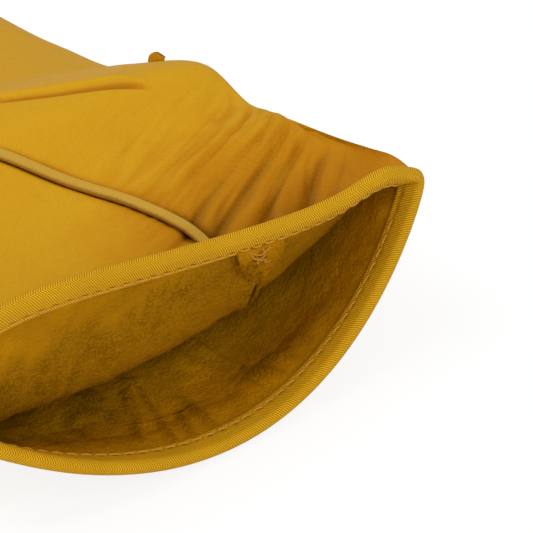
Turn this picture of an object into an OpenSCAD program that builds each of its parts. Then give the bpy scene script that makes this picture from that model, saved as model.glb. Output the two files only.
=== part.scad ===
// Leather work glove for the left hand, lying on its back with the palm up.
// The cuff mouth faces -Y, the fingers point along +Y, the thumb is on the -X side.
// Origin: on the table, under the middle of the back panel.

/* [Hand] */
// Distance from the cuff edge to the finger crotch line
hand_len = 162; // [150:1:185]
// Thickness of the leather
leather_t = 1.3; // [1:0.1:1.6]
// Width of the hand across the knuckles
knuckle_w = 104; // [98:1:112]
// Width of the hand over the base of the thumb
palm_w = 116; // [108:1:126]
// Height of the hand at its fullest
palm_h = 37; // [32:1:44]
// Height of the hand at the knuckles
knuckle_h = 25; // [23:1:30]

/* [Cuff] */
// Width of the open cuff mouth
cuff_w = 114; // [104:1:122]
// Height of the side seam above the table at the cuff
cuff_side_h = 33; // [28:1:38]
// Height of the upper cuff edge over the thumb side
cuff_top_h = 54; // [50:1:58]
// How far the lower lip of the mouth reaches past the upper edge
lip_reach = 11; // [8:1:13]
// Width of the glove at the gathered wrist
wrist_w = 106; // [98:1:112]
// Distance from the cuff edge to the deepest part of the wrist gather
gather_y = 13; // [11:1:16]
// Height of the palm side at the bottom of the wrist gather
gather_h = 10.5; // [10:0.5:13]

/* [Binding] */
// Width of the binding tape on each face of the leather
tape_w = 3.8; // [3.4:0.2:5]
// Thickness of the binding tape
tape_t = 0.6; // [0.4:0.1:0.9]
// Length of one stitch
stitch_len = 2.6; // [1.8:0.2:3.4]
// Thickness of the sewing thread
thread_d = 0.5; // [0.3:0.1:0.7]
// Number of stitches round the cuff
stitch_count = 84; // [48:4:96]

/* [Wrist elastic] */
// Width of the elastic
elastic_w = 9; // [6:1:12]
// Thickness of the elastic
elastic_t = 0.9; // [0.6:0.1:1.4]

/* [Welt] */
// Width of the welt in the thumb seam
welt_w = 2.2; // [1.6:0.2:3]
// How far the welt stands above the leather
welt_rise = 1.1; // [0.6:0.1:1.6]
// Depth of the seam allowance inside the glove
allowance = 2.4; // [1.6:0.2:3.6]
// Length of the loose end of the seam allowance inside the cuff
tongue_len = 13; // [11:1:15]
// Width of the loose end of the seam allowance
tongue_w = 8.5; // [7:0.5:10]

/* [Fingers] */
// Length of the index finger from the crotch
index_len = 76; // [66:1:84]
// Length of the middle finger from the crotch
middle_len = 84; // [74:1:92]
// Length of the ring finger from the crotch
ring_len = 78; // [68:1:86]
// Length of the little finger from the crotch
little_len = 62; // [54:1:70]
// Width of one finger
finger_w = 24; // [21:0.5:24.5]
// Height of one finger
finger_h = 21; // [18:0.5:23]
// How far the fingertips lift off the table
finger_lift = 10; // [4:1:16]
// Length of the soft crease at the base of each finger
crease_len = 14; // [13:0.5:18]
// Width of the side strips of the fingers, as an angle round the finger
strip_angle = 34; // [24:1:44]

/* [Thumb] */
// Length of the thumb past the side of the hand
thumb_len = 78; // [70:1:86]
// Width of the thumb
thumb_w = 30; // [26:1:33]
// Height of the thumb
thumb_h = 25; // [21:1:27]
// Angle between the thumb and the fingers
thumb_angle = 38; // [30:1:46]
// Distance from the cuff edge to the root of the thumb
thumb_y = 84; // [76:1:92]

/* [Side tab] */
// Width of the small leather tab near the side seam
tab_w = 5; // [3:0.5:5]
// Reach of the tab out of the leather
tab_reach = 3; // [2.6:0.2:5]
// Distance from the cuff edge to the tab
tab_y = 71; // [66:1:84]

/* [Hidden] */

leather_colour = [0.80, 0.58, 0.16];
flesh_colour = [0.62, 0.42, 0.10];
tape_colour = [0.86, 0.66, 0.14];
thread_colour = [0.85, 0.55, 0.22];
elastic_colour = [0.90, 0.88, 0.80];

fit_gap = 0.05;          // Flat sewn layers lie this far apart
seat_gap = 0.15;         // Sewn layers that follow curved leather lie this far apart
joint_gap = 0.3;         // Pieces that move against each other lie this far apart
hand_y0 = -hand_len / 2; // The cuff edge, so that the origin is under the middle of the hand
lip_h = tape_t + thread_d + 0.5; // The lower lip is held off the table by its binding
seam_back = 205;         // Where the thumb gusset and the palm meet the back panel, round the hand

// Hand form.
grade = hand_len / 162; // Small lengths of the form grow with the hand by this much
// Each station gives the section of the hand at one distance from the cuff edge:
// distance, right edge x, left edge x, right edge z, left edge z,
// height of the palm side at the right, middle and left, height of the back side.
function stations() = [
    [0, cuff_w / 2, -cuff_w / 2, cuff_side_h + grade, cuff_side_h - 7 * grade,
        cuff_side_h + 4.5 * grade, cuff_side_h + 6.7 * grade, cuff_top_h, lip_h],
    [gather_y / 2, cuff_w / 2 - grade, -cuff_w / 2 + 2 * grade, cuff_side_h + 2.4 * grade,
        cuff_side_h - 12 * grade, cuff_side_h - 6.3 * grade, cuff_side_h - 7.4 * grade,
        cuff_side_h - 4.2 * grade, lip_h],
    [gather_y, wrist_w / 2 + 2 * grade, -wrist_w / 2, cuff_side_h + 2 * grade, cuff_side_h - 18 * grade,
        gather_h + 7.3 * grade, gather_h, gather_h + 0.5 * grade, -2 * grade],
    [gather_y + 9 * grade, wrist_w / 2 + grade, -wrist_w / 2, cuff_side_h + grade, cuff_side_h - 19 * grade,
        cuff_side_h - 3.4 * grade, gather_h + 10.8 * grade, gather_h + 14 * grade, -3 * grade],
    [gather_y + 22 * grade, wrist_w / 2, -wrist_w / 2 - grade, cuff_side_h, cuff_side_h - 19 * grade,
        palm_h + grade, palm_h - 10 * grade, palm_h - 7 * grade, -4 * grade],
    [gather_y + 34 * grade, wrist_w / 2 - 0.5 * grade, -wrist_w / 2 - 4 * grade,
        cuff_side_h - 2 * grade, cuff_side_h - 19 * grade,
        palm_h, palm_h - 6 * grade, palm_h - 3 * grade, -4.5 * grade],
    [gather_y + 48 * grade, knuckle_w / 2 + grade, -palm_w + knuckle_w / 2, cuff_side_h - grade, palm_h * 0.4,
        palm_h + 7.5 * grade, palm_h + grade, palm_h, -5 * grade],
    [gather_y + 65 * grade, knuckle_w / 2 + grade, -palm_w + knuckle_w / 2, palm_h * 0.7, palm_h * 0.4,
        palm_h - 0.5 * grade, palm_h + grade, palm_h + grade, -5 * grade],
    [gather_y + 82 * grade, knuckle_w / 2 + grade, -palm_w + knuckle_w / 2, palm_h * 0.54, palm_h * 0.4,
        palm_h - 11 * grade, palm_h - 4 * grade, palm_h - 2 * grade, -5 * grade],
    [hand_len - 24 * grade, knuckle_w / 2 + 0.5 * grade, -knuckle_w / 2 - 2 * grade,
        knuckle_h * 0.5, knuckle_h * 0.5, knuckle_h + 4 * grade, knuckle_h + 3 * grade,
        knuckle_h + 3 * grade, -3 * grade],
    [hand_len, knuckle_w / 2, -knuckle_w / 2, knuckle_h * 0.5, knuckle_h * 0.5,
        knuckle_h, knuckle_h, knuckle_h, 0]
];

// Smooth curve through the rows of a table, for one column, at x in column 0
function slope(t, c, i) =
    let (lo = max(i - 1, 0), hi = min(i + 1, len(t) - 1))
    (t[hi][c] - t[lo][c]) / (t[hi][0] - t[lo][0]);
function segment(t, x, i = 0) = i >= len(t) - 2 || x < t[i + 1][0] ? i : segment(t, x, i + 1);
function curve(t, c, x) =
    let (i = segment(t, x), d = t[i + 1][0] - t[i][0], u = (x - t[i][0]) / d)
    t[i][c] * (1 + 2 * u) * (1 - u) * (1 - u) + slope(t, c, i) * d * u * (1 - u) * (1 - u)
    + t[i + 1][c] * u * u * (3 - 2 * u) - slope(t, c, i + 1) * d * u * u * (1 - u);

function unit(v) = v / norm(v);
function blend(a, b, u) = a + (b - a) * u;
function smooth(u) = let (w = min(max(u, 0), 1)) w * w * (3 - 2 * w);
function steps(a, b, n) = [for (i = [0:n]) blend(a, b, i / n)];

// A point on the outside of the hand: section r at distance v from the cuff edge, a degrees round
// from the little-finger side over the palm
function section(v) = [for (c = [1:8]) curve(stations(), c, v)];
side_fullness = 0.72;
lip_fullness = 1.4;
mouth_fullness = 0.35;  // The lower lip is this much more pointed at the mouth
lip_fade = 45 * grade; // The lower lip runs back to the plain section over this length
rim_fullness = 0.6;
rim_fade = 7 * grade;  // The upper rim runs back to the fullness of the lip over this length
// Near its little-finger end the upper rim rises to a small crest
crest_h = 2.7 * grade;
crest_angle = 35.7;
crest_spread = 13.8;
function mouth(v) = pow(max(1 - v / gather_y, 0), 2); // 1 at the mouth, 0 from the gather on
function crest(v, a) = crest_h * exp(-pow((a - crest_angle) / crest_spread, 2)) * mouth(v);
function hand_point(r, v, a) =
    let (
        s = (1 - cos(a)) / 2,
        lower = blend(lip_fullness, side_fullness, smooth(v / lip_fade)) + mouth_fullness * mouth(v),
        fullness = sin(a) >= 0 ? blend(rim_fullness, lower, smooth(v / rim_fade)) : lower,
        e = pow(abs(sin(a)), fullness),
        side_z = blend(r[2], r[3], s),
        palm_z = r[4] * (1 - s) * (1 - 2 * s) + r[5] * 4 * s * (1 - s) + r[6] * s * (2 * s - 1),
        lip = lip_reach * pow(max(1 - v / lip_fade, 0), 2)
    )
    sin(a) >= 0
    ? [blend(r[0], r[1], s), hand_y0 + v, side_z + e * (palm_z - side_z) + crest(v, a)]
    : [blend(r[0], r[1], s), hand_y0 + v - lip * e, max(side_z + e * (r[7] - side_z), 0)];
function hand_frame(r, rv, v, a) =
    let (
        p = hand_point(r, v, a),
        along = unit(hand_point(rv, v + 0.5, a) - p),
        round = unit(hand_point(r, v, a + 0.5) - hand_point(r, v, a - 0.5))
    )
    [p, along, round, unit(cross(along, round))];
// The point n millimetres outside the leather
function hand_off(v, a, n) =
    let (f = hand_frame(section(v), section(v + 0.5), v, a)) f[0] + n * f[3];
// A grid of points over distances vs, between angles lo(v) and hi(v), n outside the leather
function hand_row(v, angles, n) =
    let (r = section(v), rv = section(v + 0.5))
    [for (a = angles) let (f = hand_frame(r, rv, v, a)) f[0] + n * f[3]];

// Distance from the cuff edge in the frame of the stations, for a distance d measured on the leather
arc_step = 0.5;
arc_count = 30;
edge_sections = [for (i = [0:arc_count]) section(i * arc_step)];
function arc_table(a) =
    let (p = [for (i = [0:arc_count]) hand_point(edge_sections[i], i * arc_step, a)])
    [for (i = 0, l = 0; i <= arc_count;
        l = l + (i < arc_count ? norm(p[i + 1] - p[i]) : 0), i = i + 1) [l, i * arc_step]];
function arc_v(d, a) = lookup(d, arc_table(a));

edge_vs = [0, 1, 2, 3, 4.5];
hand_rows = 17;
row_bunching = 1.3; // Rows lie closer together towards the cuff
// Distances from the cuff edge at which the leather has a row of points
hand_vs = concat(edge_vs, [for (i = [0:hand_rows]) blend(6, hand_len, pow(i / hand_rows, row_bunching))]);

// The thumb seam, seen from above: distance from the cuff edge and x
seam_end = thumb_y + 28 * grade;
function seam_path() = [
    [0, cuff_w * 0.154], [gather_y, wrist_w * 0.19], [gather_y + 12 * grade, wrist_w * 0.168],
    [gather_y + 31 * grade, wrist_w * 0.066], [thumb_y - 22 * grade, -palm_w * 0.076],
    [thumb_y - 2 * grade, -palm_w * 0.2],
    [thumb_y + 16 * grade, -palm_w * 0.37], [seam_end, -palm_w + knuckle_w / 2 - 4 * grade]
];
function seam_x(v) = curve(seam_path(), 1, v);
seam_angle = acos(2 * seam_x(0) / cuff_w);
function hand_girth(v) = let (r = section(v)) (r[0] - r[1]) * PI / 2;
// The part of the plan on the thumb side of the seam, grown by an amount
seam_points = 40;
module thumb_side_area(grow) {
    far = cuff_w;
    offset(delta = grow) polygon(concat(
        [[-far, hand_y0 - far], [seam_x(0), hand_y0 - far]],
        [for (v = steps(0, seam_end, seam_points)) [seam_x(v), hand_y0 + v]],
        [[-far, hand_y0 + seam_end + 8]]
    ));
}
module thumb_side(grow) {
    translate([0, 0, -1]) linear_extrude(palm_h + cuff_top_h) thumb_side_area(grow);
}

// Solids from grids of points

// A closed slab between an outer and an inner grid; wrap joins the last column to the first
module slab(outer, inner, wrap = false) {
    rows = len(outer);
    cols = len(outer[0]);
    n = rows * cols;
    last_col = wrap ? cols - 1 : cols - 2;
    function id(i, j, side) = side * n + i * cols + (wrap ? j % cols : j);
    skin = [for (side = [0, 1], i = [0:rows - 2], j = [0:last_col], half = [0, 1])
        let (
            a = id(i, j, side), b = id(i + 1, j, side),
            c = id(i + 1, j + 1, side), d = id(i, j + 1, side),
            tri = half == 0 ? [a, c, b] : [a, d, c]
        )
        side == 0 ? tri : [tri[0], tri[2], tri[1]]];
    ends = [for (end = [0, 1], j = [0:last_col], half = [0, 1])
        let (
            i = end * (rows - 1), k = end == 0 ? j + 1 : j, m = end == 0 ? j : j + 1,
            o = id(i, k, 0), p = id(i, m, 0), q = id(i, k, 1), s = id(i, m, 1)
        )
        half == 0 ? [o, p, s] : [o, s, q]];
    sides = wrap ? [] : [for (end = [0, 1], i = [0:rows - 2], half = [0, 1])
        let (
            j = end * (cols - 1), k = end == 0 ? i : i + 1, m = end == 0 ? i + 1 : i,
            o = id(k, j, 0), p = id(m, j, 0), q = id(k, j, 1), s = id(m, j, 1)
        )
        half == 0 ? [o, p, s] : [o, s, q]];
    polyhedron(
        points = concat([for (r = outer) each r], [for (r = inner) each r]),
        faces = concat(skin, ends, sides), convexity = 6
    );
}

// A ring swept from a closed section along a closed loop
module closed_sweep(grid) {
    rows = len(grid);
    cols = len(grid[0]);
    function id(i, j) = (i % rows) * cols + j % cols;
    polyhedron(
        points = [for (r = grid) each r],
        faces = [for (i = [0:rows - 1], j = [0:cols - 1], half = [0, 1])
            half == 0
            ? [id(i, j), id(i + 1, j + 1), id(i + 1, j)]
            : [id(i, j), id(i, j + 1), id(i + 1, j + 1)]],
        convexity = 6
    );
}

// A filled solid through closed rings, with its two ends closed
module filled(rings) {
    rows = len(rings);
    cols = len(rings[0]);
    function id(i, j) = i * cols + j % cols;
    skin = [for (i = [0:rows - 2], j = [0:cols - 1], half = [0, 1])
        half == 0
        ? [id(i, j), id(i + 1, j + 1), id(i + 1, j)]
        : [id(i, j), id(i, j + 1), id(i + 1, j + 1)]];
    first = rows * cols;
    caps = [for (j = [0:cols - 1], end = [0, 1])
        end == 0
        ? [id(0, j + 1), id(0, j), first]
        : [id(rows - 1, j), id(rows - 1, j + 1), first + 1]];
    polyhedron(
        points = concat([for (r = rings) each r], [middle(rings[0]), middle(rings[rows - 1])]),
        faces = concat(skin, caps), convexity = 6
    );
}
function middle(ring) = [for (k = [0:2]) ([for (p = ring) p[k]] * [for (p = ring) 1]) / len(ring)];

// A piece on the hand form: rows at vs, from angle lo[i] to hi[i], from n_out to n_in[i] off the leather
module hand_piece(vs, lo, hi, cols, n_out, n_in) {
    outer = [for (i = [0:len(vs) - 1]) hand_row(vs[i], steps(lo[i], hi[i], cols), n_out)];
    inner = [for (i = [0:len(vs) - 1]) hand_row(vs[i], steps(lo[i], hi[i], cols), n_in[i])];
    slab(outer, inner);
}
function all_rows(vs, n) = [for (v = vs) n];

// Hand panels

front_cols = 34;
back_cols = 26;
loop_cols = front_cols + back_cols;
sew_gap = 0.02; // Cut edges that are sewn together lie this far apart

module with_thumb_hole() {
    difference() {
        children();
        filled(digit_rings(thumb, thumb_root_rows, thumb_cols, -seat_gap));
    }
}

// The leather of the palm side, before it is cut along the thumb seam
module front_leather(vs, n_out, n_in) {
    hand_piece(vs, all_rows(vs, 0), all_rows(vs, seam_back - sew_gap), front_cols, n_out, n_in);
}

module palm_panel() {
    color(leather_colour) difference() {
        with_thumb_hole() front_leather(hand_vs, 0, all_rows(hand_vs, -leather_t));
        thumb_side(welt_w / 2);
    }
}

module thumb_gusset() {
    color(leather_colour) intersection() {
        with_thumb_hole() front_leather(hand_vs, 0, all_rows(hand_vs, -leather_t));
        thumb_side(-welt_w / 2);
    }
}

module back_panel() {
    color(leather_colour) with_thumb_hole()
        hand_piece(hand_vs, all_rows(hand_vs, seam_back), all_rows(hand_vs, 360 - sew_gap), back_cols,
            0, all_rows(hand_vs, -leather_t));
}

// The welt fills the seam between the palm and the gusset; past the tongue its tail is the seam allowance
module thumb_welt() {
    start = 3;
    vs = concat([start], [for (v = hand_vs) if (v > start && v < seam_end + 14) v]);
    n_in = [for (v = vs) v < gather_y + 4 ? -leather_t : -leather_t - allowance];
    color(leather_colour) difference() {
        intersection() {
            with_thumb_hole() front_leather(vs, welt_rise, n_in);
            thumb_side(welt_w / 2 - sew_gap);
        }
        thumb_side(-welt_w / 2 + sew_gap);
    }
}

// The loose end of the seam allowance, turned flat against the inside of the cuff
tongue_rows = 12;
tongue_lean = 7; // Degrees that the loose end leans back towards the little-finger side
module welt_tongue() {
    ds = steps(tape_w + 2 * seat_gap, tape_w + tongue_len, tongue_rows);
    function lean(d) = seam_angle + tongue_lean * (0.6 - (d - ds[0]) / tongue_len);
    vs = [for (d = ds) arc_v(d, lean(d))];
    half = [for (d = ds)
        (tongue_w / 2) * 360 / (hand_girth(0) * 2.1) * sqrt(1 - 0.85 * pow((d - ds[0]) / tongue_len, 3))];
    color(flesh_colour)
        hand_piece(vs, [for (i = [0:tongue_rows]) lean(ds[i]) - half[i]],
            [for (i = [0:tongue_rows]) lean(ds[i]) + half[i]], 6,
            -leather_t - 2 * seat_gap, all_rows(vs, -2 * leather_t - 2 * seat_gap));
}

// Cuff binding: a tape folded over the edge of the leather, sewn through

function tape_section() =
    let (
        outer = seat_gap + tape_t, inner = -leather_t - seat_gap - tape_t,
        mid = -leather_t / 2, nose = outer - mid
    )
    concat(
        [[tape_w, outer], [tape_w / 2, outer], [0, outer]],
        [for (q = [50, 0, -50]) [-nose * cos(q), mid + nose * sin(q)]],
        [[0, inner], [tape_w / 2, inner], [tape_w, inner]],
        [[tape_w, inner + tape_t], [tape_w / 2, inner + tape_t], [-seat_gap, inner + tape_t]],
        [[-seat_gap, seat_gap], [tape_w / 2, seat_gap], [tape_w, seat_gap]]
    );
function tape_point(d, n, a) =
    d >= 0 ? hand_off(arc_v(d, a), a, n)
    : let (f = hand_frame(section(0), section(0.5), 0, a)) f[0] + d * f[1] + n * f[3];

module cuff_binding() {
    color(tape_colour) closed_sweep([for (i = [0:loop_cols - 1])
        [for (q = tape_section()) tape_point(q[0], q[1], i * 360 / loop_cols)]]);
}

// One stitch lying on a face of the hand form, n off the leather, turned about the face's normal
module stitch(v, a, n, turn = 0) {
    f = hand_frame(section(v), section(v + 0.5), v, a);
    p = f[0] + n * f[3];
    side = cross(f[3], f[2]);
    multmatrix([for (k = [0:2]) [f[2][k], side[k], f[3][k], p[k]]])
        rotate(turn) cube([stitch_len, thread_d, thread_d], center = true);
}
stitch_d = tape_w * 0.75;
tip_angle = 26; // The seam stops this far short of the tip of the cuff
fold_angle = 3; // No stitch lies across the fold at the thumb side of the cuff
// Angles at equal steps along the cuff edge, so that every stitch is as long as the next
function edge_lengths(n) =
    let (p = [for (i = [0:n]) tape_point(stitch_d, 0, i * 360 / n)])
    [for (i = 0, l = 0; i <= n; l = l + (i < n ? norm(p[i + 1] - p[i]) : 0), i = i + 1) [l, i * 360 / n]];
module binding_stitches(n) {
    lengths = edge_lengths(180);
    total = lengths[180][0];
    color(thread_colour)
        for (i = [0:stitch_count - 1])
            let (a = lookup((i + 0.5) * total / stitch_count, lengths))
                if (a > tip_angle && a < 360 - tip_angle && abs(a - 180) > fold_angle)
                    stitch(arc_v(stitch_d, a), a, n);
}
module binding_stitches_outside() {
    binding_stitches(2 * seat_gap + tape_t + thread_d / 2);
}
module binding_stitches_inside() {
    binding_stitches(-leather_t - 3.5 * seat_gap - tape_t - thread_d / 2);
}

// Wrist elastic, sewn flat to the inside of the palm panel behind the gather

elastic_lo = 32;
elastic_hi = 60;
elastic_vs = steps(gather_y + 5, gather_y + 5 + elastic_w * 0.8, 5);
elastic_n = -leather_t - 4 * seat_gap;
module wrist_elastic() {
    color(elastic_colour)
        hand_piece(elastic_vs, all_rows(elastic_vs, elastic_lo), all_rows(elastic_vs, elastic_hi),
            8, elastic_n, all_rows(elastic_vs, elastic_n - elastic_t));
}
module elastic_stitches() {
    zig = 40;
    count = 9;
    v = gather_y + 5 + elastic_w * 0.4;
    color(thread_colour)
        for (i = [0:count - 1])
            stitch(v, blend(elastic_lo + 4, elastic_hi - 3, i / (count - 1)),
                elastic_n - elastic_t - seat_gap - thread_d / 2, i % 2 == 0 ? zig : -zig);
}

// A small leather tab, the end of a dart, standing out of the palm near the side seam
tab_angle = 29.5; // The tab is this far round the hand from the side seam
module side_tab() {
    f = hand_frame(section(tab_y), section(tab_y + 0.5), tab_y, tab_angle);
    color(leather_colour) difference() {
        multmatrix([for (k = [0:2]) [f[1][k], f[3][k], cross(f[1], f[3])[k], f[0][k]]])
            translate([0, 0, -leather_t / 2]) linear_extrude(leather_t) {
                translate([-tab_w / 2, 0]) square([tab_w, tab_reach - tab_w / 2]);
                translate([0, tab_reach - tab_w / 2]) circle(d = tab_w, $fn = 32);
            }
        filled([for (v = hand_vs) hand_row(v, around(loop_cols), seat_gap)]);
    }
}

// Fingers and thumb

// A digit: root on its centre line, yaw towards the thumb side, length, width, height, lift of the tip
finger_pitch = knuckle_w / 4;
hand_end_y = hand_y0 + hand_len;
function finger(i, length, yaw) =
    [[(i - 1.5) * finger_pitch, hand_end_y, knuckle_h / 2], yaw, length, finger_w, finger_h, finger_lift];
index = finger(0, index_len, 5);
middle_finger = finger(1, middle_len, 1.5);
ring = finger(2, ring_len, -2);
little = finger(3, little_len, -6);

thumb_root_x = -palm_w + knuckle_w / 2 + 2;
thumb_root = [thumb_root_x, hand_y0 + thumb_y, thumb_h / 2 + 2];
thumb = [thumb_root, thumb_angle, thumb_len, thumb_w, thumb_h, finger_lift];

tip_len = 13;       // The rounded end of a digit
digit_taper = 0.12; // A digit is this much narrower at its end
squareness = 0.8;
function digit_dir(g) = [-sin(g[1]), cos(g[1]), 0];
function digit_right(g) = [cos(g[1]), sin(g[1]), 0];
function bent(c, s) = sign(c) * pow(abs(c), squareness) * s;
// Half width and half height at distance s along the digit
function digit_half(g, s) =
    let (
        u = min(max((s - g[2] + tip_len) / tip_len, 0), 1),
        round = sqrt(max(1 - u * u, 0)),
        taper = 1 - digit_taper * max(s, 0) / g[2]
    )
    [g[3] / 2 * taper * blend(0.5, 1, round), blend(leather_t, g[4] / 2 * taper, round)];
function digit_point(g, s, a, inset) =
    let (h = digit_half(g, s))
    g[0] + digit_dir(g) * s + digit_right(g) * bent(cos(a), h[0] - inset)
    + [0, 0, g[5] * pow(max(s, 0) / g[2], 2) + bent(sin(a), max(h[1] - inset, 0))];
function digit_row(g, s, angles, inset) = [for (a = angles) digit_point(g, s, a, inset)];
function around(n) = [for (i = [0:n - 1]) i * 360 / n];
function digit_rings(g, rows, n, inset) = [for (s = rows) digit_row(g, s, around(n), inset)];

digit_rows = 9;
tip_bunching = 1.5; // Rows lie closer together towards the fingertip
function digit_ss(g, start) =
    [for (i = [0:digit_rows]) blend(start, g[2], 1 - pow(1 - i / digit_rows, tip_bunching))];
// The side strips narrow to nothing towards the fingertip
strip_start_share = 0.6;
strip_end_share = 0.93;
strip_least = 0.15;
function strip_half(g, s, wide) =
    let (u = (s / g[2] - strip_start_share) / (strip_end_share - strip_start_share))
    wide == 0 ? 0 : max(wide * (1 - smooth(u)), strip_least);

// A panel of a digit between two angles, which narrow with the strips by the given signs
module digit_panel(g, start, lo, hi, lo_sign, hi_sign, wide, cols, share = 1, gap = 0) {
    ss = [for (s = digit_ss(g, start)) if (s <= g[2] * share) s];
    function edge(s) = strip_half(g, s, wide) + gap;
    function grid(inset) = [for (s = ss)
        digit_row(g, s == g[2] ? s - inset : s,
            steps(lo + lo_sign * edge(s), hi + hi_sign * edge(s), cols), inset)];
    slab(grid(0), grid(leather_t));
}
strip_share = 0.96;
face_gap = 0.7; // Degrees between the edge of a front or a back and the strip sewn to it
finger_start = crease_len + joint_gap; // The panels of a finger start past its soft crease
face_cols = 8;
strip_cols = 4;
module finger_front(g) {
    color(leather_colour)
        digit_panel(g, finger_start, 0, 180, 1, -1, strip_angle, face_cols, gap = face_gap);
}
module finger_back(g) {
    color(leather_colour)
        digit_panel(g, finger_start, 180, 360, 1, -1, strip_angle, face_cols, gap = face_gap);
}
module strip_thumb_side(g) {
    color(leather_colour)
        digit_panel(g, finger_start, 180, 180, -1, 1, strip_angle, strip_cols, strip_share);
}
module strip_little_side(g) {
    color(leather_colour)
        digit_panel(g, finger_start, 0, 0, -1, 1, strip_angle, strip_cols, strip_share);
}

// The soft leather at the root of a finger, which folds as the finger bends
crease_cols = 28;
crease_rows = 4;
root_squareness = 0.45;
// A point where the crease meets the end of the hand: a cell of the hand's end section
function root_point(g, a, inset) =
    let (
        half = finger_pitch / 2 - seat_gap - inset,
        x = g[0][0] + half * sign(cos(a)) * pow(abs(cos(a)), root_squareness),
        side = pow(max(1 - pow(2 * x / knuckle_w, 2), 0), side_fullness / 2),
        high = knuckle_h / 2 * min(pow(abs(sin(a)), root_squareness), side) - inset
    )
    [x, hand_end_y + fit_gap, knuckle_h / 2 + sign(sin(a)) * max(high, 0)];
module finger_crease(g) {
    function rings(inset) = [for (i = [0:crease_rows])
        let (s = crease_len * i / crease_rows, u = smooth(i / crease_rows))
        [for (a = around(crease_cols))
            blend(root_point(g, a, inset) + digit_dir(g) * s, digit_point(g, s, a, inset), u)]];
    color(leather_colour) slab(rings(0), rings(leather_t), wrap = true);
}

// Pieces of leather that close the slits between the roots of the fingers
crotch_w = 5;
module finger_crotches() {
    color(leather_colour)
        for (i = [0:2])
            let (
                x = (i - 1) * finger_pitch,
                far = abs(x) + crotch_w / 2,
                inside = knuckle_h * pow(1 - pow(2 * far / knuckle_w, 2), side_fullness / 2),
                high = inside - 2 * leather_t - 4 * seat_gap
            )
                translate([x, hand_end_y - leather_t / 2, knuckle_h / 2])
                    cube([crotch_w, leather_t, high], center = true);
}

thumb_cols = 24;
thumb_start = 36;  // The soft root of the thumb ends here on its centre line
thumb_root_rows = steps(-20, thumb_start, 6);
module thumb_crease() {
    color(leather_colour) difference() {
        slab(digit_rings(thumb, thumb_root_rows, thumb_cols, 0),
            digit_rings(thumb, thumb_root_rows, thumb_cols, leather_t), wrap = true);
        filled([for (v = hand_vs) hand_row(v, around(loop_cols), seat_gap)]);
    }
}
module thumb_front() {
    color(leather_colour) digit_panel(thumb, thumb_start + joint_gap, 0, 180, 0, 0, 0, 12);
}
module thumb_back() {
    color(leather_colour) digit_panel(thumb, thumb_start + joint_gap, 180, 360, 0, 0, 0, 12);
}

palm_panel();
back_panel();
thumb_gusset();
thumb_welt();
welt_tongue();
cuff_binding();
binding_stitches_outside();
binding_stitches_inside();
wrist_elastic();
elastic_stitches();
side_tab();
finger_crotches();
finger_crease(index);  // index_crease
finger_crease(middle_finger);  // middle_crease
finger_crease(ring);  // ring_crease
finger_crease(little);  // little_crease
thumb_crease();
finger_front(index);  // index_front
finger_back(index);  // index_back
strip_thumb_side(index);  // index_strip_thumb_side
strip_little_side(index);  // index_strip_little_side
finger_front(middle_finger);  // middle_front
finger_back(middle_finger);  // middle_back
strip_thumb_side(middle_finger);  // middle_strip_thumb_side
strip_little_side(middle_finger);  // middle_strip_little_side
finger_front(ring);  // ring_front
finger_back(ring);  // ring_back
strip_thumb_side(ring);  // ring_strip_thumb_side
strip_little_side(ring);  // ring_strip_little_side
finger_front(little);  // little_front
finger_back(little);  // little_back
strip_thumb_side(little);  // little_strip_thumb_side
strip_little_side(little);  // little_strip_little_side
thumb_front();
thumb_back();
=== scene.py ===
"""Looks of a soft leather work glove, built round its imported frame."""

import math

import bpy
import numpy as np
from bpy.props import FloatProperty, FloatVectorProperty, IntProperty, PointerProperty
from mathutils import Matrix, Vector


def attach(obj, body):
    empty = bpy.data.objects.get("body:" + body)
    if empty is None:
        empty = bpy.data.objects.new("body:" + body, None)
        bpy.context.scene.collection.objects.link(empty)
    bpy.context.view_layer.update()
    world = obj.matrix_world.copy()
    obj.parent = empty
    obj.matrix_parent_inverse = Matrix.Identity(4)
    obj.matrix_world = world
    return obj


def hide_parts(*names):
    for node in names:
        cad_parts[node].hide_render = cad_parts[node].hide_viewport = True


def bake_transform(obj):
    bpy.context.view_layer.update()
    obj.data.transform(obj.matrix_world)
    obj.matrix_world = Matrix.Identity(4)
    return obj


bl_info = {
    "name": "Leather Work Glove",
    "version": (1, 0, 0),
    "blender": (4, 5, 0),
    "location": "View3D > Sidebar > Glove",
    "description": "Models a leather work glove with a bound cuff on its packed frame",
    "category": "Object",
}

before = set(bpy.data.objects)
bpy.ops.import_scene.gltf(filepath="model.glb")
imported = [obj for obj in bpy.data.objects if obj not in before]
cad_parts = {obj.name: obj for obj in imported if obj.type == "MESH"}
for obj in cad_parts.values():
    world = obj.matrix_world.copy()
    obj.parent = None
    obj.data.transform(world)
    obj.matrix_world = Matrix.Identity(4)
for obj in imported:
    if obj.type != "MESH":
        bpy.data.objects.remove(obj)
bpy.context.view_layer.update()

MM = 0.001


def length(label, about, millimetres):
    """A length that a user can change, given in millimetres and kept in metres."""
    return FloatProperty(name=label, description=about, default=millimetres * MM, unit="LENGTH",
                         precision=5)


def colour(label, about, value):
    """A linear colour that a user can change."""
    return FloatVectorProperty(name=label, description=about, default=value, size=3, subtype="COLOR",
                               min=0.0, max=1.0)


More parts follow.
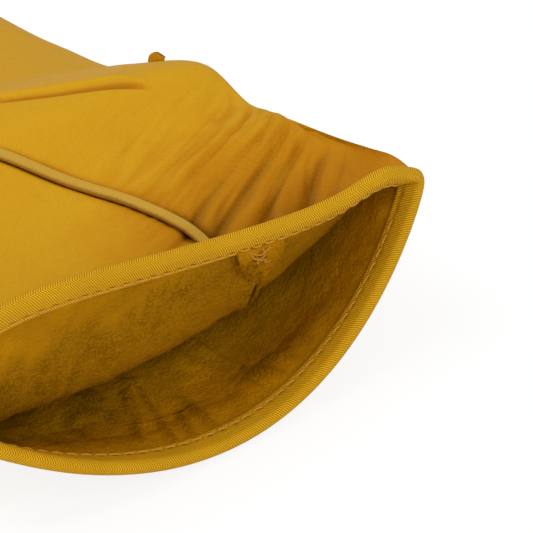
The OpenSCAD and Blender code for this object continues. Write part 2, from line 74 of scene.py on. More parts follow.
class GloveSizes(bpy.types.PropertyGroup):
    """Sizes of the glove, as the solids have them."""

    hand_len: length("Hand length", "Cuff edge to the finger crotch line", 162)
    leather_t: length("Leather", "Thickness of the leather", 1.3)
    knuckle_w: length("Knuckle width", "Width of the hand across the knuckles", 104)
    palm_w: length("Palm width", "Width of the hand over the base of the thumb", 116)
    palm_h: length("Palm height", "Height of the hand at its fullest", 37)
    knuckle_h: length("Knuckle height", "Height of the hand at the knuckles", 25)
    cuff_w: length("Cuff width", "Width of the open cuff mouth", 114)
    cuff_side_h: length("Side seam height", "Height of the side seam at the cuff", 33)
    cuff_top_h: length("Cuff top", "Height of the upper cuff edge over the thumb side", 54)
    lip_reach: length("Lip reach", "How far the lower lip reaches past the upper edge", 11)
    lip_h: length("Lip height", "Height of the lower lip's leather above the table", 1.6)
    wrist_w: length("Wrist width", "Width at the gathered wrist", 106)
    gather_y: length("Gather place", "Cuff edge to the deepest part of the gather", 13)
    gather_h: length("Gather height", "Height of the palm side at the gather", 10.5)
    tape_w: length("Tape width", "Width of the binding tape on each face", 3.8)
    tape_t: length("Tape thickness", "Thickness of the binding tape", 0.6)
    stitch_len: length("Stitch length", "Length of one stitch", 2.9)
    thread_d: length("Thread", "Thickness of the sewing thread", 0.5)
    stitch_count: IntProperty(name="Stitches", description="Stitches round the cuff", default=84, min=12)
    elastic_w: length("Elastic width", "Width of the wrist elastic", 9)
    welt_w: length("Welt width", "Width of the welt in the thumb seam", 2.2)
    welt_rise: length("Welt rise", "How far the welt stands above the leather", 1.1)
    tongue_len: length("Tongue length", "Length of the loose end inside the cuff", 13)
    tongue_w: length("Tongue width", "Width of the loose end inside the cuff", 8.5)
    index_len: length("Index finger", "Length of the index finger from the crotch", 76)
    middle_len: length("Middle finger", "Length of the middle finger from the crotch", 84)
    ring_len: length("Ring finger", "Length of the ring finger from the crotch", 78)
    little_len: length("Little finger", "Length of the little finger from the crotch", 62)
    finger_w: length("Finger width", "Width of one finger", 24)
    finger_h: length("Finger height", "Height of one finger", 21)
    finger_lift: length("Fingertip lift", "How far the fingertips lift off the table", 10)
    crease_len: length("Crease length", "Length of the soft crease at a finger's base", 14)
    thumb_len: length("Thumb length", "Length of the thumb", 78)
    thumb_w: length("Thumb width", "Width of the thumb", 30)
    thumb_h: length("Thumb height", "Height of the thumb", 25)
    thumb_y: length("Thumb place", "Cuff edge to the root of the thumb", 84)
    tab_w: length("Tab width", "Width of the small tab near the side seam", 5)
    tab_reach: length("Tab reach", "Reach of the tab out of the leather", 3)
    tab_y: length("Tab place", "Cuff edge to the tab", 71)


class GloveColours(bpy.types.PropertyGroup):
    """Colours of the glove, linear."""

    grain: colour("Grain", "Grain side of the leather", (0.64, 0.33, 0.008))
    # Partly dye and partly painted shade: the tone mixes this darker colour in on the upper side near the
    # cuff, where the leather lies in shade
    dyed_and_shaded: colour("Dyed grain", "Grain side where the dye lies deeper, at the cuff", (0.53, 0.21, 0.001))
    flesh: colour("Flesh side", "Napped inside of the leather", (0.58, 0.25, 0.002))
    welt: colour("Welt", "Narrow strip in the thumb seam", (0.57, 0.33, 0.04))
    tape: colour("Tape", "Binding tape", (0.84, 0.46, 0.008))
    # Painted shade between the tape's ribs
    tape_groove_shade: colour("Tape grooves", "Binding tape between its ribs", (0.42, 0.18, 0.001))
    thread: colour("Thread", "Sewing thread", (0.70, 0.33, 0.02))
    elastic: colour("Elastic", "Wrist elastic", (0.72, 0.69, 0.60))


class GloveStage(bpy.types.PropertyGroup):
    """Where the camera stands and how the glove is lit."""

    azimuth: FloatProperty(name="Azimuth", description="Direction from the cuff's tip to the camera",
                           default=math.radians(-45), subtype="ANGLE")
    elevation: FloatProperty(name="Elevation", description="Height of the camera above the cuff's tip",
                             default=math.radians(30), subtype="ANGLE")
    distance: length("Distance", "From the cuff's tip to the camera", 430)
    scale: FloatProperty(name="Scale", description="Picture points for one millimetre at the cuff's tip",
                         default=5.0)
    key: FloatProperty(name="Key light", description="Power of the large lamp", default=4.0,
                       subtype="POWER")
    front: FloatProperty(name="Front light", description="Power of the lamp before the cuff",
                         default=5.0, subtype="POWER")
    sky: FloatProperty(name="Sky", description="Strength of the even light", default=0.5, min=0.0)


def sizes():
    return bpy.context.scene.glove_sizes


def colours():
    return bpy.context.scene.glove_colours


# Noise and curves

def lattice(i, j, k, seed):
    """A repeatable number from -1 to 1 at each point of a whole-number grid."""
    mask = 0xFFFFFFFF
    h = (i * 374761393 + j * 668265263 + k * 1440662683 + seed * 974634777) & mask
    h = ((h ^ (h >> 13)) * 1274126177) & mask
    return ((h ^ (h >> 16)) & 0xFFFF) / 32767.5 - 1


def noise(x, y, z, seed):
    """Smooth noise from -1 to 1."""
    x, y, z = np.broadcast_arrays(x, y, z)
    cells = [np.floor(c).astype(np.int64) for c in (x, y, z)]
    fades = [(c - f) ** 2 * (3 - 2 * (c - f)) for c, f in zip((x, y, z), cells)]
    total = 0.0
    for corner in range(8):
        step = [(corner >> b) & 1 for b in range(3)]
        weight = 1.0
        for b in range(3):
            weight = weight * (fades[b] if step[b] else 1 - fades[b])
        total = total + weight * lattice(*[c + s for c, s in zip(cells, step)], seed)
    return total


def valleys(x, y, seed, sharp=3.0):
    """Thin creases where noise crosses zero, from 0 on smooth leather to -1 in a crease."""
    return -np.maximum(1 - sharp * np.abs(noise(x, y, 0.5, seed)), 0) ** 2


def smooth(u):
    """An easy rise from 0 to 1 as u goes from 0 to 1."""
    w = np.clip(u, 0, 1)
    return w * w * (3 - 2 * w)


def ease(low, high, u):
    return low + (high - low) * smooth(u)


def between(x, start, rise, stop, fall):
    """1 between two places, with an easy rise from start and an easy fall from stop."""
    return smooth((x - start) / rise) * (1 - smooth((x - stop) / fall))


def bell(x, middle, half):
    return np.exp(-(((x - middle) / half) ** 2))


def curve(table, column, x):
    """A smooth curve through one column of a table whose first column is x."""
    x = np.asarray(x, float)
    at = table[:, 0]
    value = table[:, column]
    count = len(at)
    before = np.maximum(np.arange(count) - 1, 0)
    after = np.minimum(np.arange(count) + 1, count - 1)
    slope = (value[after] - value[before]) / (at[after] - at[before])
    i = np.clip(np.searchsorted(at, x, side="right") - 1, 0, count - 2)
    d = at[i + 1] - at[i]
    u = (x - at[i]) / d
    rise = value[i] * (1 + 2 * u) * (1 - u) ** 2 + value[i + 1] * u * u * (3 - 2 * u)
    return rise + slope[i] * d * u * (1 - u) ** 2 - slope[i + 1] * d * u * u * (1 - u)


def unit(v):
    return v / np.linalg.norm(v, axis=-1, keepdims=True)


def squared(share, power):
    """A sine or cosine drawn towards a square's, the more so the lower the power."""
    return np.sign(share) * np.abs(share) ** power


def running(points, axis=0):
    """Distance run along one way of a grid of points, from 0 at its start."""
    steps = np.linalg.norm(np.diff(points, axis=axis), axis=-1)
    start = np.zeros_like(np.take(steps, [0], axis=axis))
    return np.concatenate([start, np.cumsum(steps, axis)], axis)


# The hand form, as the solids have it

class HandForm:
    """The outside of the hand: v is the distance from the cuff edge, a the angle in degrees round
    the hand, from the little-finger side over the palm."""

    SIDE_FULLNESS = 0.72
    LIP_FULLNESS = 1.4
    MOUTH_FULLNESS = 0.35
    LIP_FADE = 45 * MM
    RIM_FULLNESS = 0.6
    RIM_FADE = 7 * MM
    CREST_H = 2.7 * MM
    CREST_ANGLE = 35.7
    CREST_SPREAD = 13.8
    SEAM_BACK = 205.0
    SEAM_TURN = 12 * MM        # The thumb seam turns down over this length,
    SEAM_TURN_EARLY = 10 * MM  # and starts to turn this far before its end
    ARC_REACH = 16 * MM        # Distances on the leather are measured up to here
    STEP_V = 0.5 * MM          # Steps to the near points that give directions
    STEP_A = 0.5

    def __init__(self):
        s = sizes()
        self.y0 = -s.hand_len / 2
        left = -s.palm_w + s.knuckle_w / 2
        half = s.wrist_w / 2
        side, palm, gather = s.cuff_side_h, s.palm_h, s.gather_y
        knuckle = s.knuckle_h
        # Each row: distance from the cuff edge, x of the two sides, heights of the two sides,
        # heights of the palm at the little-finger side, the middle and the thumb side, height of the back
        self.stations = np.array([
            [0, s.cuff_w / 2, -s.cuff_w / 2, side, side - 7 * MM,
             side + 4.5 * MM, side + 6.7 * MM, s.cuff_top_h, s.lip_h],
            [gather / 2, s.cuff_w / 2 - 1 * MM, -s.cuff_w / 2 + 2 * MM, side + 2.4 * MM, side - 12 * MM,
             side - 6.3 * MM, side - 7.4 * MM, side - 4.2 * MM, s.lip_h],
            [gather, half + 2 * MM, -half, side + 2 * MM, side - 18 * MM,
             s.gather_h + 7.3 * MM, s.gather_h, s.gather_h + 0.5 * MM, -2 * MM],
            [gather + 9 * MM, half + 1 * MM, -half, side + 1 * MM, side - 19 * MM,
             side - 3.4 * MM, s.gather_h + 10.8 * MM, s.gather_h + 14 * MM, -3 * MM],
            [gather + 22 * MM, half, -half - 1 * MM, side, side - 19 * MM,
             palm + 1 * MM, palm - 10 * MM, palm - 7 * MM, -4 * MM],
            [gather + 34 * MM, half - 0.5 * MM, -half - 4 * MM, side - 2 * MM, side - 19 * MM,
             palm, palm - 6 * MM, palm - 3 * MM, -4.5 * MM],
            [gather + 48 * MM, s.knuckle_w / 2 + 1 * MM, left, side - 1 * MM, palm * 0.4,
             palm + 7.5 * MM, palm + 1 * MM, palm, -5 * MM],
            [gather + 65 * MM, s.knuckle_w / 2 + 1 * MM, left, palm * 0.7, palm * 0.4,
             palm - 0.5 * MM, palm + 1 * MM, palm + 1 * MM, -5 * MM],
            [gather + 82 * MM, s.knuckle_w / 2 + 1 * MM, left, palm * 0.54, palm * 0.4,
             palm - 11 * MM, palm - 4 * MM, palm - 2 * MM, -5 * MM],
            [s.hand_len - 24 * MM, s.knuckle_w / 2 + 0.5 * MM, -s.knuckle_w / 2 - 2 * MM,
             knuckle * 0.5, knuckle * 0.5, knuckle + 4 * MM, knuckle + 3 * MM,
             knuckle + 3 * MM, -3 * MM],
            [s.hand_len, s.knuckle_w / 2, -s.knuckle_w / 2, knuckle * 0.5, knuckle * 0.5,
             knuckle, knuckle, knuckle, 0],
        ])
        self.seam_end = s.thumb_y + 28 * MM
        self.seam = np.array([
            [0, s.cuff_w * 0.154], [gather, s.wrist_w * 0.19], [gather + 12 * MM, s.wrist_w * 0.168],
            [gather + 31 * MM, s.wrist_w * 0.066], [s.thumb_y - 22 * MM, -s.palm_w * 0.076],
            [s.thumb_y - 2 * MM, -s.palm_w * 0.2], [s.thumb_y + 16 * MM, -s.palm_w * 0.37],
            [self.seam_end, left - 4 * MM],
        ])
        self.lip_reach = s.lip_reach
        self.gather_y = gather

    def point(self, v, a):
        v, a = np.broadcast_arrays(np.asarray(v, float), np.asarray(a, float))
        right, left, right_z, left_z, palm_r, palm_m, palm_l, back_z = [
            curve(self.stations, c, v) for c in range(1, 9)]
        sine = np.sin(np.radians(a))
        s = (1 - np.cos(np.radians(a))) / 2
        mouth = np.maximum(1 - v / self.gather_y, 0) ** 2
        lip_full = ease(self.LIP_FULLNESS, self.SIDE_FULLNESS, v / self.LIP_FADE)
        lip_full = lip_full + self.MOUTH_FULLNESS * mouth
        upper = sine >= 0
        rim_full = ease(self.RIM_FULLNESS, lip_full, v / self.RIM_FADE)
        e = np.abs(sine) ** np.where(upper, rim_full, lip_full)
        crest = self.CREST_H * bell(a % 360, self.CREST_ANGLE, self.CREST_SPREAD) * mouth
        side_z = right_z + (left_z - right_z) * s
        palm_z = palm_r * (1 - s) * (1 - 2 * s) + palm_m * 4 * s * (1 - s) + palm_l * s * (2 * s - 1)
        lip = self.lip_reach * np.maximum(1 - v / self.LIP_FADE, 0) ** 2
        y = self.y0 + v - np.where(upper, 0, lip * e)
        z = np.where(upper, side_z + e * (palm_z - side_z) + crest,
                     np.maximum(side_z + e * (back_z - side_z), 0))
        return np.stack([right + (left - right) * s, y, z], -1)

    def frame(self, v, a):
        """The point, and the directions along the hand, round it and out of it."""
        p = self.point(v, a)
        along = unit(self.point(v + self.STEP_V, a) - p)
        around = unit(self.point(v, a + self.STEP_A) - self.point(v, a - self.STEP_A))
        return p, along, around, unit(np.cross(along, around))

    def off(self, v, a, n):
        p, _, _, out = self.frame(v, a)
        return p + np.asarray(n)[..., None] * out

    def seam_angle(self, v):
        """Angle of the thumb seam; past the thumb it turns down to the back panel's edge."""
        x = curve(self.seam, 1, np.minimum(v, self.seam_end))
        right = curve(self.stations, 1, v)
        left = curve(self.stations, 2, v)
        a = np.degrees(np.arccos(np.clip(1 - 2 * (x - right) / (left - right), -1, 1)))
        return ease(a, self.SEAM_BACK, (v - self.seam_end + self.SEAM_TURN_EARLY) / self.SEAM_TURN)

    def arc(self, d, a, count=65):
        """The v at each distance d from the cuff edge, measured on the leather at angle a."""
        steps = np.linspace(0, self.ARC_REACH, count)
        a = np.atleast_1d(np.asarray(a, float))
        run = running(self.point(steps[:, None], a[None, :]))
        far = np.broadcast_to(d, a.shape)
        return np.array([np.interp(far[i], run[:, i], steps) for i in range(len(a))])


# Meshes from grids of points

def new_object(name, points, faces, uvs):
    """An object at the origin from points in metres; uvs are one pair for each point."""
    mesh = bpy.data.meshes.new(name)
    mesh.from_pydata(points, [], faces)
    layer = mesh.uv_layers.new(name="UVMap")
    corner = np.empty(len(mesh.loops), np.int32)
    mesh.loops.foreach_get("vertex_index", corner)
    layer.data.foreach_set("uv", np.asarray(uvs, np.float32)[corner].ravel())
    mesh.polygons.foreach_set("use_smooth", [True] * len(mesh.polygons))
    mesh.update()
    obj = bpy.data.objects.new(name, mesh)
    bpy.context.scene.collection.objects.link(obj)
    return obj


def grid_faces(rows, cols, start=0, wrap_cols=False, flip=False):
    """Four-sided faces of a grid of points numbered row by row."""
    i, j = np.meshgrid(np.arange(rows - 1), np.arange(cols if wrap_cols else cols - 1), indexing="ij")
    here, beside = i * cols + j, i * cols + (j + 1) % cols
    quads = np.stack([here, beside, beside + cols, here + cols], -1).reshape(-1, 4)
    if flip:
        quads = quads[:, ::-1]
    return quads + start


def tube_faces(rows, sides, start=0):
    """Faces of a closed tube whose points are numbered ring by ring."""
    first = [start + j for j in range(sides)]
    last = [start + (rows - 1) * sides + j for j in range(sides)]
    return grid_faces(rows, sides, start, wrap_cols=True).tolist() + [first[::-1], last]


def grid_uv(along, around):
    """One pair of texture places for each point of a grid."""
    return np.stack(np.broadcast_arrays(along[:, None], around[None, :]), -1).reshape(-1, 2)


def leather_sheet(name, outer, inner, tone=0.0, flesh_tone=0.0):
    """Closed leather between an outer and an inner grid. Grain faces have material 0, flesh and cut
    edges material 1. The tones, one value for each point of the grids, go into an attribute."""
    rows, cols = outer.shape[:2]
    count = rows * cols
    ids = np.arange(count).reshape(rows, cols)
    rim = np.concatenate([ids[0, :-1], ids[:-1, -1], ids[-1, :0:-1], ids[:0:-1, 0]])
    following = np.roll(rim, -1)
    edge = np.stack([following, rim, rim + count, following + count], -1)
    faces = np.concatenate([grid_faces(rows, cols), grid_faces(rows, cols, count, flip=True), edge])
    points = np.concatenate([outer.reshape(-1, 3), inner.reshape(-1, 3)])
    uv = np.stack([running(outer, 1), running(outer)], -1).reshape(-1, 2)
    obj = new_object(name, points, faces.tolist(), np.concatenate([uv, uv]))
    grain = (rows - 1) * (cols - 1)
    obj.data.polygons.foreach_set("material_index", np.arange(len(faces)) >= grain)
    tones = [np.broadcast_to(t, (rows, cols)).ravel() for t in (tone, flesh_tone)]
    layer = obj.data.attributes.new(TONE, "FLOAT", "POINT")
    layer.data.foreach_set("value", np.concatenate(tones).astype(np.float32))
    obj.data.materials.append(material(GRAIN))
    obj.data.materials.append(material(FLESH))
    turn_outward(obj)
    return obj


def even_rows(values, reach):
    """Mean of each row of a grid with its neighbours up to a reach. The end rows stand for those
    beyond them."""
    padded = np.concatenate([values[:1]] * reach + [values] + [values[-1:]] * reach)
    return sum(padded[k:k + len(values)] for k in range(2 * reach + 1)) / (2 * reach + 1)


def soften(values, reach):
    """Mean of each row of a closed loop with its neighbours up to a reach."""
    return sum(np.roll(values, k, axis=0) for k in range(-reach, reach + 1)) / (2 * reach + 1)


def edit_mesh(obj, operator, **settings):
    """Runs a mesh operator on all of an object."""
    bpy.ops.object.select_all(action="DESELECT")
    bpy.context.view_layer.objects.active = obj
    obj.select_set(True)
    bpy.ops.object.mode_set(mode="EDIT")
    bpy.ops.mesh.select_all(action="SELECT")
    operator(**settings)
    bpy.ops.object.mode_set(mode="OBJECT")
    obj.select_set(False)


def turn_outward(obj):
    """Turns a closed mesh's faces outwards."""
    edit_mesh(obj, bpy.ops.mesh.normals_make_consistent, inside=False)


def merge_doubles(obj):
    """Closes the seam of a loop by merging its equal points."""
    edit_mesh(obj, bpy.ops.mesh.remove_doubles, threshold=1e-7)


def place(obj, body, slot, *nodes):
    """Puts a finished piece on its body, in place of its solids."""
    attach(obj, body)
    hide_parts(*nodes)


# Material node groups

TONE = "tone"  # The attribute that holds how deep the dye lies and where shade is painted
GRAIN = "golden_grain_leather"
WELT = "pale_welt_leather"
FLESH = "napped_flesh_side"
TAPE = "twill_binding_tape"
THREAD = "orange_thread"
ELASTIC = "woven_elastic"

TAPE_RIB = 0.52 * MM
TAPE_SLANT = 1.6  # The ribs run this far across the tape for each one along it
TAPE_WARP = 0.36 * MM
ELASTIC_CORD = 1.1 * MM
ELASTIC_WEFT = 0.5 * MM


class Nodes:
    """Short forms for building a node tree."""

    # Sockets of the colour form of the mix node
    MIX_FACTOR, MIX_A, MIX_B, MIX_RESULT = 0, 6, 7, 2

    def __init__(self, tree):
        self.tree = tree

    def add(self, kind, inputs=(), **settings):
        node = self.tree.nodes.new(kind)
        for key, value in settings.items():
            setattr(node, key, value)
        for key, value in dict(inputs).items():
            if isinstance(value, bpy.types.NodeSocket):
                self.tree.links.new(value, node.inputs[key])
            else:
                node.inputs[key].default_value = value
        return node

    def math(self, operation, a, b=0.0):
        return self.add("ShaderNodeMath", {0: a, 1: b}, operation=operation).outputs[0]

    def plus(self, a, b):
        return self.math("ADD", a, b)

    def times(self, a, b):
        return self.math("MULTIPLY", a, b)

    def over(self, a, b):
        return self.math("DIVIDE", a, b)

    def to_and_fro(self, value):
        """From 0 to a half and back, once for each whole number."""
        return self.math("PINGPONG", value, 0.5)

    def mix(self, factor, a, b):
        inputs = {self.MIX_FACTOR: factor, self.MIX_A: a, self.MIX_B: b}
        return self.add("ShaderNodeMix", inputs, data_type="RGBA").outputs[self.MIX_RESULT]

    def ramp(self, value, low, high):
        return self.add("ShaderNodeMapRange", {"Value": value, "From Min": low, "From Max": high},
                        interpolation_type="SMOOTHSTEP").outputs[0]

    def noise(self, where, scale, detail, roughness=0.5):
        inputs = {"Vector": where, "Scale": scale, "Detail": detail, "Roughness": roughness}
        return self.add("ShaderNodeTexNoise", inputs).outputs["Fac"]

    def shade(self, base, value):
        """A colour made darker or lighter."""
        return self.add("ShaderNodeHueSaturation", {"Value": value, "Color": base}).outputs[0]

    def tone(self):
        return self.add("ShaderNodeAttribute", attribute_name=TONE).outputs["Fac"]

    def object_place(self):
        return self.add("ShaderNodeTexCoord").outputs["Object"]

    def uv_place(self):
        split = self.add("ShaderNodeSeparateXYZ", {0: self.add("ShaderNodeTexCoord").outputs["UV"]})
        return split.outputs[0], split.outputs[1]


def start_group(name, colour_names):
    """A node group with colour inputs and colour, roughness and normal outputs."""
    tree = bpy.data.node_groups.new(name, "ShaderNodeTree")
    for label in colour_names:
        tree.interface.new_socket(label, in_out="INPUT", socket_type="NodeSocketColor")
    for label, kind in (("Color", "Color"), ("Roughness", "Float"), ("Normal", "Vector")):
        tree.interface.new_socket(label, in_out="OUTPUT", socket_type="NodeSocket" + kind)
    nodes = Nodes(tree)
    given = nodes.add("NodeGroupInput")
    return nodes, *[given.outputs[label] for label in colour_names]


def end_group(nodes, colour_socket, roughness, height, distance, strength):
    bump = nodes.add("ShaderNodeBump", {"Height": height, "Distance": distance, "Strength": strength})
    nodes.add("NodeGroupOutput", {"Color": colour_socket, "Roughness": roughness,
                                  "Normal": bump.outputs["Normal"]})
    return nodes.tree


def leather_group(name):
    """Grain leather: mottled dye mixed with painted shade by the tone, pebbled grain with pores, finer
    grain between.
    """
    nodes, grain, dyed_and_shaded = start_group(name, ("Grain", "Dyed and shaded"))
    where = nodes.object_place()
    mottle = nodes.noise(where, 70.0, 4.0)
    speckle = nodes.noise(where, 800.0, 3.0)
    fine = nodes.noise(where, 1500.0, 3.0)
    pebble = nodes.add("ShaderNodeTexVoronoi", {"Vector": where, "Scale": 900.0}).outputs[0]
    depth = nodes.plus(nodes.tone(), nodes.times(nodes.math("SUBTRACT", mottle, 0.5), 0.9))
    # The tone mixes in the dyed and shaded colour: partly dye, partly painted shade
    base = nodes.mix(nodes.ramp(depth, 0.0, 1.0), grain, dyed_and_shaded)
    # Painted shade: where the tone runs past one, the colour darkens further, towards a shaded copy
    base = nodes.mix(nodes.ramp(depth, 1.0, 2.2), base, nodes.shade(base, 0.42))
    spots = nodes.times(nodes.ramp(speckle, 0.5, 0.72), 0.16)
    base = nodes.mix(spots, base, nodes.shade(base, 0.72))
    pores = nodes.times(nodes.ramp(pebble, 0.04, 0.34), 0.35)
    height = nodes.plus(nodes.plus(nodes.times(fine, 0.5), pores), nodes.times(speckle, 0.8))
    roughness = nodes.plus(0.5, nodes.times(speckle, 0.2))
    return end_group(nodes, base, roughness, height, 0.3 * MM, 0.5)


def flesh_group(name):
    """Napped flesh side: short fibres, paler patches where the nap is brushed, painted shade where the
    tone is high.
    """
    nodes, flesh = start_group(name, ("Flesh",))
    where = nodes.object_place()
    patch = nodes.noise(where, 110.0, 5.0, 0.6)
    nap = nodes.noise(where, 1900.0, 3.0)
    clump = nodes.noise(where, 330.0, 2.0)
    dark = nodes.shade(flesh, 0.74)
    base = nodes.mix(nodes.ramp(patch, 0.3, 0.72), dark, nodes.shade(flesh, 1.12))
    # Painted shade: darker where the tone is high
    base = nodes.mix(nodes.ramp(nodes.tone(), 0.0, 1.4), base, nodes.shade(base, 0.5))
    base = nodes.mix(nodes.times(nodes.ramp(clump, 0.50, 0.70), 0.45), base, dark)
    base = nodes.mix(nodes.times(nodes.ramp(nap, 0.42, 0.60), 0.8), base, dark)
    height = nodes.plus(nodes.times(nap, 0.6), clump)
    return end_group(nodes, base, 0.93, height, 0.55 * MM, 1.0)


def tape_group(name):
    """Twill tape: ribs that slant away on both sides of the fold, cut by the fine lines of the warp, with
    painted shade between the ribs.
    """
    nodes, tape, groove = start_group(name, ("Tape", "Groove"))
    u, v = nodes.uv_place()
    from_fold = nodes.over(nodes.math("ABSOLUTE", v), TAPE_RIB * TAPE_SLANT)
    slant = nodes.plus(nodes.over(u, TAPE_RIB), from_fold)
    rib = nodes.ramp(nodes.to_and_fro(slant), 0.08, 0.34)
    warp = nodes.ramp(nodes.to_and_fro(nodes.over(v, TAPE_WARP)), 0.0, 0.35)
    wear = nodes.noise(nodes.object_place(), 160.0, 4.0)
    weave = nodes.times(rib, nodes.plus(0.6, nodes.times(warp, 0.4)))
    bright = nodes.mix(nodes.ramp(wear, 0.35, 0.7), tape, nodes.shade(tape, 1.1))
    # Painted shade: the groove colour where the weave lies low
    return end_group(nodes, nodes.mix(weave, groove, bright), 0.7, weave, 0.2 * MM, 0.7)


def thread_group(name):
    """Twisted sewing thread, with painted shade between the plies."""
    nodes, thread = start_group(name, ("Thread",))
    u, v = nodes.uv_place()
    twist = nodes.to_and_fro(nodes.plus(nodes.times(u, 5.0), nodes.times(v, 2.0)))
    ply = nodes.ramp(twist, 0.0, 0.35)
    # Painted shade: darker where the ply lies low
    base = nodes.mix(ply, nodes.shade(thread, 0.75), thread)
    return end_group(nodes, base, 0.62, ply, 0.08 * MM, 0.8)


def elastic_group(name):
    """Ribbed woven elastic, with painted shade between the cords."""
    nodes, elastic = start_group(name, ("Elastic",))
    u, v = nodes.uv_place()
    cord = nodes.ramp(nodes.to_and_fro(nodes.over(v, ELASTIC_CORD)), 0.0, 0.4)
    weft = nodes.ramp(nodes.to_and_fro(nodes.over(u, ELASTIC_WEFT)), 0.0, 0.4)
    height = nodes.plus(cord, nodes.times(weft, 0.3))
    # Painted shade: darker where the cord lies low
    base = nodes.mix(cord, nodes.shade(elastic, 0.7), elastic)
    return end_group(nodes, base, 0.85, height, 0.2 * MM, 0.8)


# Each material's node group and what makes it, the colours of its inputs and its gloss
MATERIALS = {
    GRAIN: ("Grain Leather", leather_group, {"Grain": "grain", "Dyed and shaded": "dyed_and_shaded"}, 0.1),
    WELT: ("Grain Leather", leather_group, {"Grain": "welt", "Dyed and shaded": "dyed_and_shaded"}, 0.1),
    FLESH: ("Napped Leather", flesh_group, {"Flesh": "flesh"}, 0.04),
    TAPE: ("Twill Tape", tape_group, {"Tape": "tape", "Groove": "tape_groove_shade"}, 0.12),
    THREAD: ("Sewing Thread", thread_group, {"Thread": "thread"}, 0.35),
    ELASTIC: ("Ribbed Elastic", elastic_group, {"Elastic": "elastic"}, 0.1),
}


def material(name):
    """One of the glove's materials, made when it is first asked for."""
    if name in bpy.data.materials:
        return bpy.data.materials[name]
    group_name, make_group, inputs, gloss = MATERIALS[name]
    made = bpy.data.materials.new(name)
    made.use_nodes = True
    group = bpy.data.node_groups.get(group_name) or make_group(group_name)
    look = Nodes(made.node_tree).add("ShaderNodeGroup", node_tree=group)
    for label, colour_name in inputs.items():
        look.inputs[label].default_value = (*getattr(colours(), colour_name), 1.0)
    shader = made.node_tree.nodes["Principled BSDF"]
    for label, socket in (("Color", "Base Color"), ("Roughness", "Roughness"), ("Normal", "Normal")):
        made.node_tree.links.new(look.outputs[label], shader.inputs[socket])
    shader.inputs["Specular IOR Level"].default_value = gloss
    return made


# Folds and wrinkles of the leather, as heights over the plain form

STEADY_EDGE = 5 * MM      # The leather under the binding follows the plain form
GATHER_SLANT = 0.24 * MM  # The wrist folds slant towards the cuff by this for a degree round the hand
# Wrist folds at the little-finger side: distance from the cuff edge and depth, in millimetres
WRIST_CREASES = (
    (22.0, 0.6), (26.5, 0.8), (32.0, 1.0), (37.3, 1.3), (42.3, 0.9), (48.5, 0.9), (54.0, 0.4),
)
CREASE_GAIN = 1.25
CREASE_HALF = 0.5   # Half the width of a wrist fold, in millimetres
CREASE_HEAP = 0.35  # How much of its depth is heaped beside it
# Fine wrinkles between them: height and width in millimetres, length in degrees, seed
FINE_WRINKLES = ((0.42, 2.1, 24, 12), (0.32, 1.3, 15, 13))
WRINKLE_SHARP = 2.2
# Zones: where they start and over what they rise, where they stop and over what they fade
WRIST_ZONE = (8 * MM, 8 * MM, 42 * MM, 22 * MM)
WRIST_ANGLES = (6, 22, 66, 22)
GATHER_ANGLES = (22, 24, 78, 24)
PALM_CREASE_ANGLES = (46, 8, 76, 14)
PALM_CREASE = 58.5 * MM   # Place of the crease across the heel, at the angle below
PALM_CREASE_ANGLE = 50
PALM_CREASE_DEEP = 2.1 * MM
PALM_CREASE_HEAP = 0.8 * MM
SWELL_CELL = 24 * MM
FLESH_DEEPEST = 0.9 * MM
FLESH_FOLD_HALF = 0.75 * MM
FLESH_FOLD_POINTS = 30
# Single folds inside the cuff: both ends, as distance from the edge in millimetres and angle
FLESH_FOLDS = (
    ((22.0, 265.5), (5.0, 252.0)), ((21.0, 266.5), (1.0, 257.0)), ((19.0, 262.0), (9.0, 254.5)),
    ((12.5, 269.5), (1.0, 267.5)), ((10.0, 266.0), (2.0, 262.0)), ((2.5, 88.5), (5.0, 91.0)),
    ((2.5, 93.5), (6.5, 96.0)), ((3.0, 95.5), (8.0, 96.0)), ((3.0, 99.0), (7.0, 99.5)),
)


def wrist_folds(v, a):
    """Transverse folds over the gathered wrist on the palm side."""
    w = (v + GATHER_SLANT * a) / MM + 1.1 * noise(a / 15, v / (13 * MM), 0.3, 3)
    height = sum(high * valleys(w / wide, a / long, seed, WRINKLE_SHARP)
                 for high, wide, long, seed in FINE_WRINKLES)
    for line, deep in WRIST_CREASES:
        d = np.abs(w - line)
        there = np.clip(0.62 + 0.6 * noise(a / 10, line, 0.5, 4), 0.1, 1)
        shape = np.exp(-d / CREASE_HALF) - CREASE_HEAP * bell(d, 2.2, 1.4)
        height = height - CREASE_GAIN * deep * there * shape
    return between(v, *WRIST_ZONE) * between(a, *WRIST_ANGLES) * height * MM


def two_swells(p, cell, finer, slow, quick, seed):
    """Noise of two sizes; slow and quick are the heights of the large and of the finer one."""
    x, y, z = [p[..., k] / cell for k in range(3)]
    return slow * noise(x, y, z, seed) + quick * noise(x * finer, y * finer, z * finer, seed + 1)


def soft_bulges(p, v):
    """Slow swells that worn leather has everywhere, fading out at the bound edge."""
    swells = two_swells(p, SWELL_CELL, 2.3, 0.4 * MM, 0.25 * MM, 21)
    return swells * smooth((v - STEADY_EDGE) / (16 * MM))


def palm_crease(v, a):
    """The soft crease across the heel of the hand, with the leather heaped beside it."""
    line = PALM_CREASE + (a - PALM_CREASE_ANGLE) * 0.5 * MM + 0.6 * MM * np.sin(np.radians(a * 9))
    heaped = PALM_CREASE_HEAP * bell(v, line + 3.4 * MM, 3.0 * MM)
    return between(a, *PALM_CREASE_ANGLES) * (heaped - PALM_CREASE_DEEP * bell(v, line, 1.2 * MM))


def outer_height(p, v, a):
    return wrist_folds(v, a) + soft_bulges(p, v) + palm_crease(v, a)


def single_folds(p):
    """Folds that run in from the bound edge one by one."""
    form = HandForm()
    height = np.zeros(p.shape[:2])
    for start, end in FLESH_FOLDS:
        v, a = [np.linspace(start[k], end[k], FLESH_FOLD_POINTS) for k in range(2)]
        gap = np.min([np.linalg.norm(p - spot, axis=-1) for spot in form.point(v * MM, a)], axis=0)
        height -= FLESH_DEEPEST * bell(gap, 0, FLESH_FOLD_HALF)
    return height


